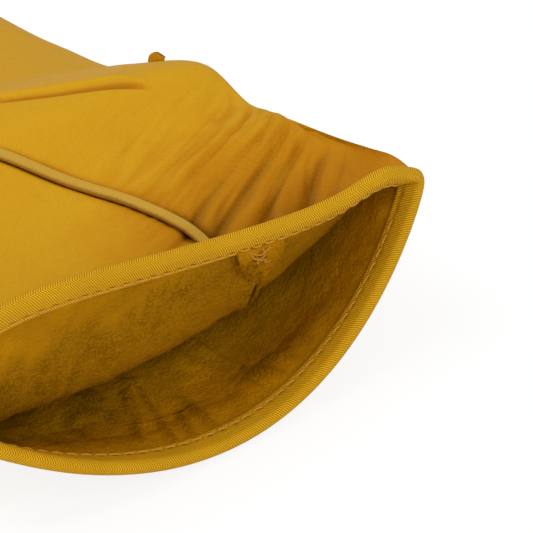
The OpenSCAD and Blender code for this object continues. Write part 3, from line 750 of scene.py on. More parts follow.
def inner_creases(p, v):
    """Creases of the flesh side, running in from the bound edge."""
    x, y = p[..., 0], p[..., 1]
    bend = noise(x / (9 * MM), v / (11 * MM), 0.7, 31)
    lines = valleys(x / (6.5 * MM) + 0.45 * bend, v / (26 * MM), 32, 3.0)
    fine = valleys(x / (3.0 * MM) + 0.8 * bend, v / (12 * MM), 33, 2.4)
    patch = smooth(0.55 + 0.9 * noise(x / (17 * MM), y / (17 * MM), 0.2, 34))
    swell = 0.5 * MM * noise(x / (14 * MM), y / (10 * MM), 0.1, 35)
    height = smooth((v - 2 * MM) / (5 * MM)) * (patch * (0.9 * MM * lines + 0.45 * MM * fine) + swell)
    return np.maximum(height + single_folds(p), -FLESH_DEEPEST)


def hollows(height, full):
    """1 where a height lies at least as deep as full, 0 where it isn't below the plain form."""
    return np.clip(-height / full, 0, 1)


def cuff_painted_shade(v, a):
    """Painted shade, as more tone, beside the binding and in the hollow of the gather."""
    edge = (1 - smooth((v - 5 * MM) / (15 * MM))) * smooth((a - 25) / 25)
    hollow = bell(v, 25 * MM, 12 * MM) * between(a, *GATHER_ANGLES)
    return edge * (0.6 + 0.8 * smooth((a - 80) / 30)) + 0.45 * hollow


def welt_painted_shade(distance, a):
    """Painted shade, as more tone, in the seam groove beside the welt."""
    return 1.9 * np.exp(-distance / (1.1 * MM)) * smooth((a - 40) / 20)


def seam_rolls(run, depth, reach):
    """Leather turning down into the seams at both ends of each row of a grid."""
    return -depth * (bell(run, 0, reach) + bell(run[:, -1:] - run, 0, reach))


# Operators

class GLOVE_OT_panels(bpy.types.Operator):
    """Models the palm panel, the thumb gusset and the back panel"""

    bl_idname = "glove.panels"
    bl_label = "Leather Panels"

    ROWS_NEAR = 165
    ROWS_FAR = 70
    NEAR = 72 * MM
    COLS = 190
    GUSSET_COLS = 170
    SEAM_DEPTH = 1.2 * MM
    SEAM_REACH = 1.3 * MM
    FOLD_SHARE = 0.18    # At the side folds the leather thins to this share of the gap
    LEVEL = -0.9         # Leather that faces down more than this lies level on the table,
    LEVEL_T = 0.6 * MM   # and its inside stays this far above it
    EVEN_ROWS = 14

    def rows(self):
        near = np.linspace(0, self.NEAR, self.ROWS_NEAR, endpoint=False)
        return np.concatenate([near, np.linspace(self.NEAR, sizes().hand_len, self.ROWS_FAR)])

    def tone(self, v, a, run):
        """How deep the dye of the grain side lies, with painted shade near the cuff, beside the binding,
        in the seams beside the welt and in the creases.
        """
        upper = np.sin(np.radians(a)) > 0
        # Upper side near the cuff: partly deeper dye, partly painted shade
        tone = np.where(upper, 1 - smooth((v - 16 * MM) / (34 * MM)), 0.3)
        tone = tone * (1 - 0.75 * smooth((a - 55) / 30) * upper)
        # Painted shade in the seam grooves on both sides of the welt
        seams = welt_painted_shade(run, a) + welt_painted_shade(run[:, -1:] - run, a)
        # Painted shade in the wrist folds and the palm crease
        creased = 0.45 * hollows(wrist_folds(v, a), 0.6 * MM) + 1.3 * hollows(palm_crease(v, a), 1.2 * MM)
        return tone + upper * (cuff_painted_shade(v, a) + seams + creased)

    def panel(self, name, lo, hi, cols, v):
        """A panel between two angles given for each row; both edges turn down into their seams."""
        form = HandForm()
        closer = (1 - np.cos(np.linspace(0, np.pi, cols))) / 2
        share = (closer + np.linspace(0, 1, cols)) / 2
        a = lo[:, None] + (hi - lo)[:, None] * share
        v = np.broadcast_to(v[:, None], a.shape)
        p, _, _, out = form.frame(v, a)
        run = running(p, 1)
        side_gap = np.linalg.norm(p - form.point(v, 360 - a), axis=2)
        thick = np.minimum(sizes().leather_t, self.FOLD_SHARE * side_gap)
        roll = seam_rolls(run, self.SEAM_DEPTH, self.SEAM_REACH) * smooth(side_gap / (8 * MM))
        roll = roll * smooth((v - STEADY_EDGE) / (6 * MM))
        upper = np.sin(np.radians(a)) > 0
        loose = smooth(side_gap / (17 * MM))
        height = loose * np.where(upper, outer_height(p, v, a), 0.4 * soft_bulges(p, v)) + roll
        inside = loose * inner_creases(p, v)
        outer = p + height[..., None] * out
        outer[..., 2] = np.maximum(outer[..., 2], 0)
        depth = np.where(upper, height, 0) - thick + np.minimum(inside, FLESH_DEEPEST)
        inner = p + depth[..., None] * out
        level = ~upper & (out[..., 2] < self.LEVEL)
        level_z = np.maximum(p[..., 2] - (thick - inside) * out[..., 2], self.LEVEL_T)
        z = np.where(level, level_z, inner[..., 2])
        inner[..., 2] = np.where(upper, z, np.maximum(z, even_rows(z, self.EVEN_ROWS)))
        # Painted shade on the flesh side: darker inside the upper wall and in the inner creases, a little
        # on the lower wall
        painted_inside_shade = np.where(upper, 0.55 + 0.5 * bell(a, 75, 35), 0.2) + 1.1 * hollows(inside, 0.5 * MM)
        return leather_sheet(name, outer, inner, self.tone(v, a, run), painted_inside_shade)

    def execute(self, context):
        form = HandForm()
        v = self.rows()
        half_welt = np.degrees(sizes().welt_w / 2 / (sizes().cuff_w / 2))
        zero = np.zeros(len(v))
        palm_edge = np.maximum(form.seam_angle(v) - half_welt, 1)
        palm = self.panel("palm_leather", zero, palm_edge, self.COLS, v)
        back_edge = np.full(len(v), form.SEAM_BACK)
        gusset_v = v[v < form.seam_end - 1 * MM]
        gusset_edge = np.minimum(form.seam_angle(gusset_v) + half_welt, form.SEAM_BACK - 1)
        gusset = self.panel("thumb_gusset_leather", gusset_edge, back_edge[:len(gusset_v)],
                            self.GUSSET_COLS, gusset_v)
        back = self.panel("back_leather", back_edge, zero + 360, self.COLS, v)
        place(palm, "hand", "leather", "palm_panel")
        place(gusset, "hand", "leather", "thumb_gusset")
        place(back, "hand", "leather", "back_panel")
        return {"FINISHED"}


class GLOVE_OT_welt(bpy.types.Operator):
    """Models the welt in the thumb seam"""

    bl_idname = "glove.welt"
    bl_label = "Thumb Welt"

    ROWS = 300
    SIDES = 16
    ENDS = (2.2 * MM, 3 * MM)  # The welt ends this far inside the cuff edge and the seam's end
    SQUARENESS = 0.7
    ROOT = 1.4 * MM            # How deep it reaches into the seam
    EVEN_ROWS = 12

    def execute(self, context):
        s = sizes()
        form = HandForm()
        v = np.linspace(self.ENDS[0], form.seam_end - self.ENDS[1], self.ROWS)
        a = form.seam_angle(v)
        p, _, _, out = form.frame(v, a)
        lift = even_rows(outer_height(p, v, a), self.EVEN_ROWS) * 0.8
        across = unit(np.cross(unit(np.gradient(p, axis=0)), out))
        turn = np.radians(np.linspace(0, 360, self.SIDES, endpoint=False))
        wide = 0.5 * s.welt_w * squared(np.cos(turn), self.SQUARENESS)
        tall = np.where(np.sin(turn) > 0, 0.55 * s.welt_rise, self.ROOT)
        high = tall * squared(np.sin(turn), self.SQUARENESS)
        sway = 0.12 * MM * noise(v / (5 * MM), 0.2, 0.4, 41)
        points = (p[:, None] + across[:, None] * (wide[None, :, None] + sway[:, None, None])
                  + out[:, None] * (high[None, :, None] + lift[:, None, None]))
        faces = tube_faces(self.ROWS, self.SIDES)
        welt = new_object("thumb_welt_strip", points.reshape(-1, 3), faces, grid_uv(running(p), turn * MM))
        turn_outward(welt)
        welt.data.materials.append(material(WELT))
        place(welt, "hand", "leather", "thumb_welt")
        return {"FINISHED"}


def tube_points(path, radius, sides):
    """Points round a line, with a radius for each point of it."""
    path = np.asarray(path, float)
    ahead = unit(np.gradient(path, axis=0))
    start = np.array([0.0, 0.0, 1.0]) if abs(ahead[0, 2]) < 0.9 else np.array([1.0, 0.0, 0.0])
    side = unit(np.cross(ahead[0], start))
    turn = np.linspace(0, 2 * np.pi, sides, endpoint=False)
    rings = []
    for point, forward, r in zip(path, ahead, np.broadcast_to(radius, len(path))):
        side = unit(side - forward * np.dot(side, forward))
        up = np.cross(forward, side)
        rings.append(point + r * (np.cos(turn)[:, None] * side + np.sin(turn)[:, None] * up))
    return np.array(rings)


TWIST_LENGTH = 3 * MM  # Length of thread for one unit of its texture


def tubes(name, paths, radii, sides, look):
    """Closed tubes along lines, joined into one object; the texture runs along and round each."""
    points, faces, uvs = [], [], []
    for path, radius in zip(paths, radii):
        start = sum(len(p) for p in points)
        rings = tube_points(path, radius, sides)
        points.append(rings.reshape(-1, 3))
        faces += tube_faces(len(rings), sides, start)
        uvs.append(grid_uv(running(path) / TWIST_LENGTH, np.arange(sides) / sides))
    obj = new_object(name, np.concatenate(points), faces, np.concatenate(uvs))
    turn_outward(obj)
    obj.data.materials.append(material(look))
    return obj


def smooth_line(corners, count):
    """A smooth line through corner points."""
    corners = np.asarray(corners, float)
    table = np.column_stack([np.arange(len(corners)), corners])
    u = np.linspace(0, len(corners) - 1, count)
    return np.stack([curve(table, k, u) for k in range(1, 4)], -1)


class GLOVE_OT_tongue(bpy.types.Operator):
    """Models the loose end of the seam allowance inside the cuff, with its fibres and loose threads"""

    bl_idname = "glove.tongue"
    bl_label = "Seam Tongue"

    ROWS = 70
    COLS = 70
    LEAN = 7.0   # Degrees that the tongue leans over its length
    MERGE = 1.9  # It runs into the wall this many half widths from its middle
    TAPER = 0.85
    STEPS = 161
    FIBRES = 520
    FIBRE_SIDES = 3
    THREAD_R = 0.17 * MM
    THREAD_POINTS = 40
    THREAD_SIDES = 8
    # Loose threads: distance across from the tongue's middle, down from the tape and off the face,
    # in millimetres
    THREADS = (
        ((1.2, -0.6, 0.2), (1.1, 0.6, 0.5), (0.5, 1.5, 0.7), (-0.7, 1.8, 0.7), (-1.7, 1.2, 0.6),
         (-1.8, 0.0, 0.3), (-1.5, -0.8, 0.1)),
        ((0.1, 1.3, 0.3), (-0.4, 2.4, 0.7), (-1.3, 2.6, 0.8), (-2.0, 3.4, 0.6), (-1.4, 4.2, 0.5),
         (-2.2, 5.0, 0.4), (-3.2, 5.6, 0.2)),
        ((0.9, -0.4, 0.2), (-0.2, 0.4, 0.5), (-1.2, 0.5, 0.6), (-2.6, -0.2, 0.3), (-3.6, -0.5, 0.1)),
        ((-0.6, 2.3, 0.4), (0.3, 3.0, 0.5), (0.2, 3.9, 0.4), (-0.6, 4.4, 0.2)),
    )

    def face(self, form, across, down, off):
        """Points on the tongue's face, from lengths across, down and off it; across runs to the
        thumb side."""
        s = sizes()
        d = s.tape_w + np.asarray(down, float)
        u = np.clip((d - s.tape_w) / s.tongue_len, 0, 1)
        middle = form.seam_angle(np.zeros(1))[0] + self.LEAN * (0.6 - u)
        a = middle + np.degrees(np.asarray(across) / (0.5 * s.cuff_w) * 1.05)
        a, d = np.broadcast_arrays(a, d)
        v = form.arc(d.ravel(), a.ravel(), self.STEPS).reshape(a.shape)
        return form.off(v, a, -np.broadcast_to(off, v.shape) - s.leather_t)

    def half_width(self, u):
        return sizes().tongue_w / 2 * np.sqrt(1 - self.TAPER * u ** 3)

    def execute(self, context):
        s = sizes()
        form = HandForm()
        down = np.linspace(-0.8 * MM, s.tongue_len, self.ROWS)[:, None]
        share = np.linspace(1, -self.MERGE, self.COLS)[None, :]
        u = np.clip(down / s.tongue_len, 0, 1)
        ragged = 1 + 0.03 * noise(down / (1.1 * MM), 0.5, 0.5, 51)
        across = self.half_width(u) * ragged * share
        lip = smooth((share + self.MERGE) / 1.5) * smooth((1 - u) * 7 + 0.25)
        rough = 0.2 * MM * noise(across / (1.0 * MM), down / (1.0 * MM), 0.3, 52)
        rough = rough + 0.16 * MM * noise(across / (0.45 * MM), down / (0.45 * MM), 0.6, 53)
        thick = s.leather_t * (0.15 + 0.85 * lip) + rough
        wall = self.face(form, across, down, np.full(thick.shape, 0.15 * MM))
        front = self.face(form, across, down, 0.2 * MM + thick)
        tongue = leather_sheet("welt_tongue_leather", wall, front, flesh_tone=0.6)
        tongue.data.polygons.foreach_set("material_index", [1] * len(tongue.data.polygons))
        place(tongue, "hand", "flesh_side", "welt_tongue")
        self.fibres(form)
        self.threads(form)
        return {"FINISHED"}

    def fibres(self, form):
        """Short fibres standing off the rough face and its cut edge."""
        s = sizes()
        random = np.random.default_rng(7)
        steps = np.linspace(0, 1, 5)
        paths, radii = [], []
        for _ in range(self.FIBRES):
            down = random.uniform(0.2, 1.0) * s.tongue_len
            share = 1 - abs(random.normal(0, 0.9)) if random.random() < 0.8 else 1.0
            across = self.half_width(down / s.tongue_len) * max(share, -self.MERGE * 0.9)
            reach = random.uniform(0.5, 1.5) * MM
            way = random.uniform(0, 2 * np.pi)
            way = way + random.uniform(-1.2, 1.2) * steps
            line_across = across + reach * steps * np.cos(way)
            line_down = down + reach * steps * np.sin(way)
            line_off = s.leather_t * 1.05 + random.uniform(0.1, 0.5) * MM * np.sin(np.pi * steps * 0.8)
            paths.append(self.face(form, line_across, line_down, line_off))
            radii.append(random.uniform(0.035, 0.075) * MM * (1 - 0.7 * steps))
        fuzz = tubes("tongue_fibres", paths, radii, self.FIBRE_SIDES, FLESH)
        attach(fuzz, "hand")

    def threads(self, form):
        """Loose loops of thread left where the seam ends."""
        paths = []
        for corners in self.THREADS:
            across, down, off = smooth_line(np.array(corners) * MM, self.THREAD_POINTS).T
            paths.append(self.face(form, across, down, sizes().leather_t + off))
        radii = [self.THREAD_R] * len(paths)
        loose = tubes("loose_threads", paths, radii, self.THREAD_SIDES, THREAD)
        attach(loose, "hand")


STITCH_ROW = 0.74    # Share of the tape's width, from the edge, at which it is sewn
TAPE_PRESSED = 0.75  # Share of the tape's thickness left where it is pressed to the leather


class GLOVE_OT_binding(bpy.types.Operator):
    """Models the twill tape folded over the cuff edge"""

    bl_idname = "glove.binding"
    bl_label = "Cuff Binding"

    ROWS = 900
    LEG = 12
    NOSE = 13
    TIP_ROWS = 7  # The tape turns round the cuff's tip over this many rows
    PUFF = 0.4 * MM
    PINCH = 0.3 * MM
    DENT = 0.14 * MM

    def section(self):
        """Distance in from the edge, and height off the leather's middle, round the tape's cut."""
        s = sizes()
        d = np.linspace(s.tape_w, 0, self.LEG)
        pinch = bell(d, STITCH_ROW * s.tape_w, 0.55 * MM)
        crown = np.sqrt(np.clip(1 - ((d - 0.30 * s.tape_w) / (0.75 * s.tape_w)) ** 2, 0, 1))
        face = s.tape_t * TAPE_PRESSED + self.PUFF * crown - self.PINCH * pinch
        half = s.leather_t / 2
        radius = half + face[-1]
        q = np.radians(np.linspace(90, -90, self.NOSE)[1:-1])
        nose = np.stack([-radius * 0.85 * np.cos(q), radius * np.sin(q)], -1)
        upper = np.stack([d, half + face], -1)
        lower = np.stack([d[::-1], -half - face[::-1]], -1)
        slot = np.array([[s.tape_w, -half - 0.1 * MM], [0.4 * MM, -half - 0.05 * MM],
                         [0.4 * MM, half + 0.05 * MM], [s.tape_w, half + 0.1 * MM]])
        return np.concatenate([upper, nose, lower, slot])

    def softened(self, p, *ways):
        """Places and directions evened over the turn at the cuff's tip."""
        return soften(p, self.TIP_ROWS), *[unit(soften(way, self.TIP_ROWS)) for way in ways]

    def execute(self, context):
        s = sizes()
        form = HandForm()
        a = even_angles(form, 0.0, self.ROWS)
        section = self.section()
        cols = len(section)
        grid = np.empty((self.ROWS, cols, 3))
        edge, along, _, out = form.frame(np.zeros(self.ROWS), a)
        soft_edge, along, edge_out = self.softened(edge, along, out)
        phase = np.arange(self.ROWS) / self.ROWS * s.stitch_count * 2 * np.pi
        for j, (d, n) in enumerate(section):
            height = n - s.leather_t / 2
            if d > 0:
                dent = self.DENT * bell(d, STITCH_ROW * s.tape_w, 0.7 * MM) * np.cos(phase) * np.sign(n)
                p, _, _, out = form.frame(form.arc(d, a), a)
                p, out = self.softened(p, out)
                grid[:, j] = p + (height + dent)[:, None] * out
            else:
                grid[:, j] = soft_edge + along * d + edge_out * height
        u = running(np.concatenate([edge, edge[:1]]))
        u = u * round(u[-1] / TAPE_RIB) * TAPE_RIB / u[-1]
        v = running(section)
        v = v - v[self.LEG + self.NOSE // 2 - 1]
        closed = np.concatenate([grid, grid[:1]])
        faces = grid_faces(self.ROWS + 1, cols, wrap_cols=True)
        tape = new_object("cuff_binding_tape", closed.reshape(-1, 3), faces.tolist(), grid_uv(u, v))
        merge_doubles(tape)
        turn_outward(tape)
        tape.data.materials.append(material(TAPE))
        place(tape, "hand", "binding_tape", "cuff_binding")
        return {"FINISHED"}


def even_angles(form, d, count):
    """Angles at equal steps along the cuff, at distance d from its edge."""
    fine = np.linspace(0, 360, 1441)
    run = running(form.point(form.arc(d, fine), fine))
    return np.interp(np.arange(count) / count * run[-1], run, fine)


def stitch_shape():
    """One stitch one metre long along X and one metre thick, with its ends bent down."""
    bpy.ops.object.select_all(action="DESELECT")
    bpy.ops.mesh.primitive_uv_sphere_add(segments=8, ring_count=10, radius=0.5,
                                         rotation=(0, math.pi / 2, 0))
    obj = bpy.context.object
    bpy.ops.object.transform_apply(rotation=True)
    points = np.array([v.co for v in obj.data.vertices])
    faces = [list(f.vertices) for f in obj.data.polygons]
    bpy.data.objects.remove(obj)
    x = points[:, 0] * 2
    blunt = np.sqrt(np.clip(1 - np.abs(x) ** 6, 0, 1))
    ball = np.maximum(np.sqrt(np.clip(1 - x * x, 0, 1)), 0.05)
    points[:, 1:] *= np.minimum(blunt / ball, 2.0)[:, None]
    points[:, 2] -= 0.75 * np.abs(x) ** 3
    return points, faces


def sew(name, places, ahead, out, long, thick):
    """Stitches at the given places, joined into one object."""
    shape, faces = stitch_shape()
    side = np.cross(out, ahead)
    count = len(places)
    points = (places[:, None] + ahead[:, None] * shape[None, :, :1] * long
              + side[:, None] * shape[None, :, 1:2] * thick + out[:, None] * shape[None, :, 2:3] * thick)
    step = len(shape)
    all_faces = [[k + i * step for k in f] for i in range(count) for f in faces]
    uv = np.stack([shape[:, 0], np.arctan2(shape[:, 1], shape[:, 2]) / (2 * np.pi)], -1)
    obj = new_object(name, points.reshape(-1, 3), all_faces, np.tile(uv, (count, 1)))
    obj.data.materials.append(material(THREAD))
    return obj


class GLOVE_OT_stitches(bpy.types.Operator):
    """Sews the binding on both faces of the cuff"""

    bl_idname = "glove.stitches"
    bl_label = "Binding Stitches"

    TIP = 26.0  # The seam stops this far short of the cuff's tip, in degrees
    FOLD = 3.0  # No stitch lies across the fold at the thumb side
    TILT = 0.10
    RISE = 0.28 * MM

    def execute(self, context):
        s = sizes()
        form = HandForm()
        d = STITCH_ROW * s.tape_w
        a = even_angles(form, d, s.stitch_count)
        a = a[(a > self.TIP) & (a < 360 - self.TIP) & (np.abs(a - 180) > self.FOLD)]
        p, along, around, out = form.frame(form.arc(d, a), a)
        face = s.tape_t * TAPE_PRESSED + self.RISE
        for name, side, height in (("outside", 1, face), ("inside", -1, -s.leather_t - face)):
            ahead = unit(around + self.TILT * side * along)
            obj = sew("stitches_" + name, p + out * height, ahead, out * side, s.stitch_len,
                      s.thread_d * 0.9)
            place(obj, "hand", "thread", "binding_stitches_" + name)
        return {"FINISHED"}


class GLOVE_OT_elastic(bpy.types.Operator):
    """Models the elastic inside the wrist and the zigzag that holds it"""

    bl_idname = "glove.elastic"
    bl_label = "Wrist Elastic"

    LO = 32.0
    HI = 60.0
    START = 5 * MM    # From the gather to the band
    SHOWN = 0.8       # Share of the band's width left as it lies gathered
    DEPTH = 1.6 * MM  # From the leather's inside to the band
    THICK = 0.9 * MM
    ZIGZAG = 18

    def execute(self, context):
        s = sizes()
        form = HandForm()
        start, wide = s.gather_y + self.START, s.elastic_w * self.SHOWN
        v = np.linspace(start, start + wide, 40)[:, None]
        v, a = np.broadcast_arrays(v, np.linspace(self.LO, self.HI, 90))
        gather = 0.18 * MM * np.sin(np.radians(a) * 70)
        cords = 0.12 * MM * np.cos((v - v[0]) / ELASTIC_CORD * 2 * np.pi)
        depth = s.leather_t + self.DEPTH
        outer = form.off(v, a, -depth + gather)
        inner = form.off(v, a, -depth - self.THICK + gather - cords)
        band = leather_sheet("wrist_elastic_band", outer, inner)
        band.data.materials.clear()
        band.data.materials.append(material(ELASTIC))
        band.data.polygons.foreach_set("material_index", [0] * len(band.data.polygons))
        place(band, "hand", "elastic", "wrist_elastic")
        angles = np.linspace(self.LO + 2, self.HI - 2, self.ZIGZAG)
        p, along, around, out = form.frame(np.full(self.ZIGZAG, start + wide / 2), angles)
        lean = np.where(np.arange(self.ZIGZAG) % 2 == 0, 1, -1)[:, None]
        ahead = unit(around + lean * along * 1.1)
        places = p - out * (depth + 1.0 * MM)
        zigzag = sew("elastic_zigzag", places, ahead, -out, s.stitch_len, s.thread_d)
        place(zigzag, "hand", "thread", "elastic_stitches")
        return {"FINISHED"}


class GLOVE_OT_tab(bpy.types.Operator):
    """Models the small tab of leather near the side seam"""

    bl_idname = "glove.tab"
    bl_label = "Side Tab"

    ANGLE = 29.5
    CURL = 0.9 * MM

    def execute(self, context):
        s = sizes()
        p, along, _, out = HandForm().frame(np.array([s.tab_y]), np.array([self.ANGLE]))
        across = np.cross(along, out)
        high = np.linspace(-0.25, 1, 30)[:, None]
        wide = np.linspace(-1, 1, 24)[None, :]
        round_end = np.sqrt(np.clip(1 - np.clip((high - 0.6) / 0.42, 0, 1) ** 2, 0.25, 1))
        x = 0.5 * s.tab_w * wide * round_end
        up = high * (0.46 + 0.18 * wide) * s.tab_reach
        curl = self.CURL * high ** 2 + 0.08 * MM * noise(x / (1.6 * MM), high * 2.0, 0.4, 61)
        middle = p + x[..., None] * along + up[..., None] * out + curl[..., None] * across
        half = 0.5 * s.leather_t * (0.75 + 0.25 * round_end * np.sqrt(np.clip(1 - wide ** 4, 0, 1)))
        half = half[..., None] * across
        tab = leather_sheet("side_tab_leather", middle + half, middle - half)
        place(tab, "hand", "leather", "side_tab")
        return {"FINISHED"}


class Digit:
    """The outside of a finger or the thumb: s is the distance from its root, a the angle in degrees
    round it, from the little-finger side over the palm."""

    TIP = 13 * MM
    TAPER = 0.12
    SQUARENESS = 0.8
    ROOT_SQUARENESS = 0.45
    SIDE_POWER = 0.36  # How fully the root's outline keeps to the end of the hand

    def __init__(self, root, yaw, long, wide, high, cell=None):
        """A cell, given as half its width and half its height, squares the root into the hand."""
        self.root = np.array(root)
        self.long, self.wide, self.high, self.cell = long, wide, high, cell
        turn = math.radians(yaw)
        self.ahead = np.array([-math.sin(turn), math.cos(turn), 0.0])
        self.right = np.array([math.cos(turn), math.sin(turn), 0.0])

    def at(self, s):
        """The place on the centre line at distance s."""
        return tuple(self.root + self.ahead * s)

    def point(self, s, a, inset):
        sz = sizes()
        s, a, inset = np.broadcast_arrays(s, a, inset)
        u = np.clip((s - self.long + self.TIP) / self.TIP, 0, 1)
        round_end = np.sqrt(np.maximum(1 - u * u, 0))
        taper = 1 - self.TAPER * np.maximum(s, 0) / self.long
        wide = self.wide / 2 * taper * (0.5 + 0.5 * round_end) - inset
        high = sz.leather_t + (self.high / 2 * taper - sz.leather_t) * round_end - inset
        cos, sin = np.cos(np.radians(a)), np.sin(np.radians(a))
        lift = sz.finger_lift * (np.maximum(s, 0) / self.long) ** 2
        side = squared(cos, self.SQUARENESS) * wide
        p = self.root + s[..., None] * self.ahead + side[..., None] * self.right
        p[..., 2] += lift + squared(sin, self.SQUARENESS) * np.maximum(high, 0.05 * MM)
        if self.cell is None:
            return p
        half, tall = self.cell
        x = self.root[0] + squared(cos, self.ROOT_SQUARENESS) * (half - inset)
        edge = np.maximum(1 - (2 * x / sz.knuckle_w) ** 2, 0) ** self.SIDE_POWER
        up = tall * np.minimum(np.abs(sin) ** self.ROOT_SQUARENESS, edge) - inset
        z = self.root[2] + np.sign(sin) * np.maximum(up, 0.02 * MM)
        q = np.stack([x, np.full(x.shape, self.root[1]), z], -1) + s[..., None] * self.ahead
        return q + (p - q) * smooth(s / sz.crease_len)[..., None]


DIGIT_ROWS = 110
DIGIT_TONE = 0.12
SEAM_DEPTH = 0.8 * MM
SEAM_REACH = 0.9 * MM
# Folds across a digit's palm side: share of its length and depth, in millimetres
DIGIT_FOLDS = ((0.30, 0.7), (0.36, 0.4), (0.58, 0.8), (0.64, 0.4), (0.80, 0.35))
FOLD_HALF = 0.016
STRIP_ANGLE = 34.0
STRIP_LEAST = 0.15


def strip_angle(share):
    """Half the angle of a side strip, which narrows to nothing towards the fingertip."""
    return np.maximum(STRIP_ANGLE * (1 - smooth((share - 0.6) / 0.33)), STRIP_LEAST)


def digit_panel(name, digit, lo, hi, start, cols, seed, folds, end=1.0):
    """A panel of a digit between two edges, which turn down into the seams. An edge is an angle and
    how often the strip's angle is added to it."""
    thick = sizes().leather_t
    s = start + (digit.long * end - start) * (1 - (1 - np.linspace(0, 1, DIGIT_ROWS)) ** 1.4)
    a_lo, a_hi = [angle + times * strip_angle(s / digit.long) for angle, times in (lo, hi)]
    a = a_lo[:, None] + (a_hi - a_lo)[:, None] * np.linspace(0, 1, cols)
    s = np.broadcast_to(s[:, None], a.shape)
    plain = digit.point(s, a, 0.0)
    inset = -seam_rolls(running(plain, 1), SEAM_DEPTH, SEAM_REACH)
    inset = inset - two_swells(plain, 13 * MM, 2.6, 0.45 * MM, 0.18 * MM, seed)
    palm = np.clip(np.sin(np.radians(a)), 0, 1)
    wander = 0.02 * noise(a / 40, 0.3, 0.7, seed + 2)
    for where, deep in DIGIT_FOLDS:
        inset = inset + folds * deep * MM * palm * bell(s / digit.long + wander, where, FOLD_HALF)
    inset = inset * smooth((digit.long - s) / (6 * MM)) * smooth((s - start) / (5 * MM) + 0.15)
    outer = digit.point(s, a, inset)
    inner = digit.point(np.minimum(s, digit.long - thick), a, inset + thick)
    outer[..., 2] = np.maximum(outer[..., 2], 0)
    if end == 1.0:  # The two faces meet in a seam at the tip
        outer[-1, :, 2] = digit.root[2] + sizes().finger_lift
        inner[-1] = outer[-1] - thick * digit.ahead
    return leather_sheet(name, outer, inner, DIGIT_TONE)


class GLOVE_OT_fingers(bpy.types.Operator):
    """Models the four fingers with their side strips, and the pieces that close the slits between them"""

    bl_idname = "glove.fingers"
    bl_label = "Fingers"

    YAWS = (5.0, 1.5, -2.0, -6.0)
    # Each piece's two edges, columns, depth of folds and share of the finger's length
    PIECES = (
        ("front", (0, 1), (180, -1), 44, 1.0, 1.0),
        ("back", (180, 1), (360, -1), 44, 0.35, 1.0),
        ("strip_thumb_side", (180, -1), (180, 1), 22, 0.0, 0.97),
        ("strip_little_side", (0, -1), (0, 1), 22, 0.0, 0.97),
    )
    CELL_GAP = 0.1 * MM
    CROTCH_W = 5 * MM
    CROTCH_SHARE = 0.74  # Share of the knuckles' height that a crotch piece takes
    CROTCH_EDGE = 0.5 * MM

    def execute(self, context):
        s = sizes()
        pitch = s.knuckle_w / 4
        cell = (pitch / 2 - self.CELL_GAP, s.knuckle_h / 2)
        lengths = (s.index_len, s.middle_len, s.ring_len, s.little_len)
        for i, name in enumerate(("index", "middle", "ring", "little")):
            root = ((i - 1.5) * pitch, s.hand_len / 2, s.knuckle_h / 2)
            digit = Digit(root, self.YAWS[i], lengths[i], s.finger_w, s.finger_h, cell)
            for part, lo, hi, cols, folds, end in self.PIECES:
                panel = digit_panel(f"{name}_{part}_leather", digit, lo, hi, 0.0, cols, 70 + 10 * i,
                                    folds, end)
                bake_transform(panel)
                nodes = [f"{name}_{part}"] + ([f"{name}_crease"] if part == "front" else [])
                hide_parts(*nodes)
        self.crotches(pitch)
        return {"FINISHED"}

    def crotches(self, pitch):
        """Rounded pieces inside the hand's end, one at each slit."""
        s = sizes()
        made = []
        for i in range(3):
            middle = ((i - 1) * pitch, s.hand_len / 2 - s.leather_t / 2, s.knuckle_h / 2)
            bpy.ops.object.select_all(action="DESELECT")
            bpy.ops.mesh.primitive_cube_add(size=1, location=middle)
            piece = bpy.context.object
            piece.scale = (self.CROTCH_W, s.leather_t, s.knuckle_h * self.CROTCH_SHARE)
            bpy.ops.object.transform_apply(location=True, rotation=True, scale=True)
            bevel = piece.modifiers.new("soft_edges", "BEVEL")
            bevel.width = self.CROTCH_EDGE
            bevel.segments = 3
            bpy.ops.object.modifier_apply(modifier=bevel.name)
            made.append(piece)
        bpy.ops.object.select_all(action="DESELECT")
        for piece in made:
            piece.select_set(True)
        bpy.context.view_layer.objects.active = made[0]
        bpy.ops.object.join()
        made[0].name = "finger_crotch_leather"
        made[0].data.materials.append(material(GRAIN))
        place(made[0], "hand", "leather", "finger_crotches")


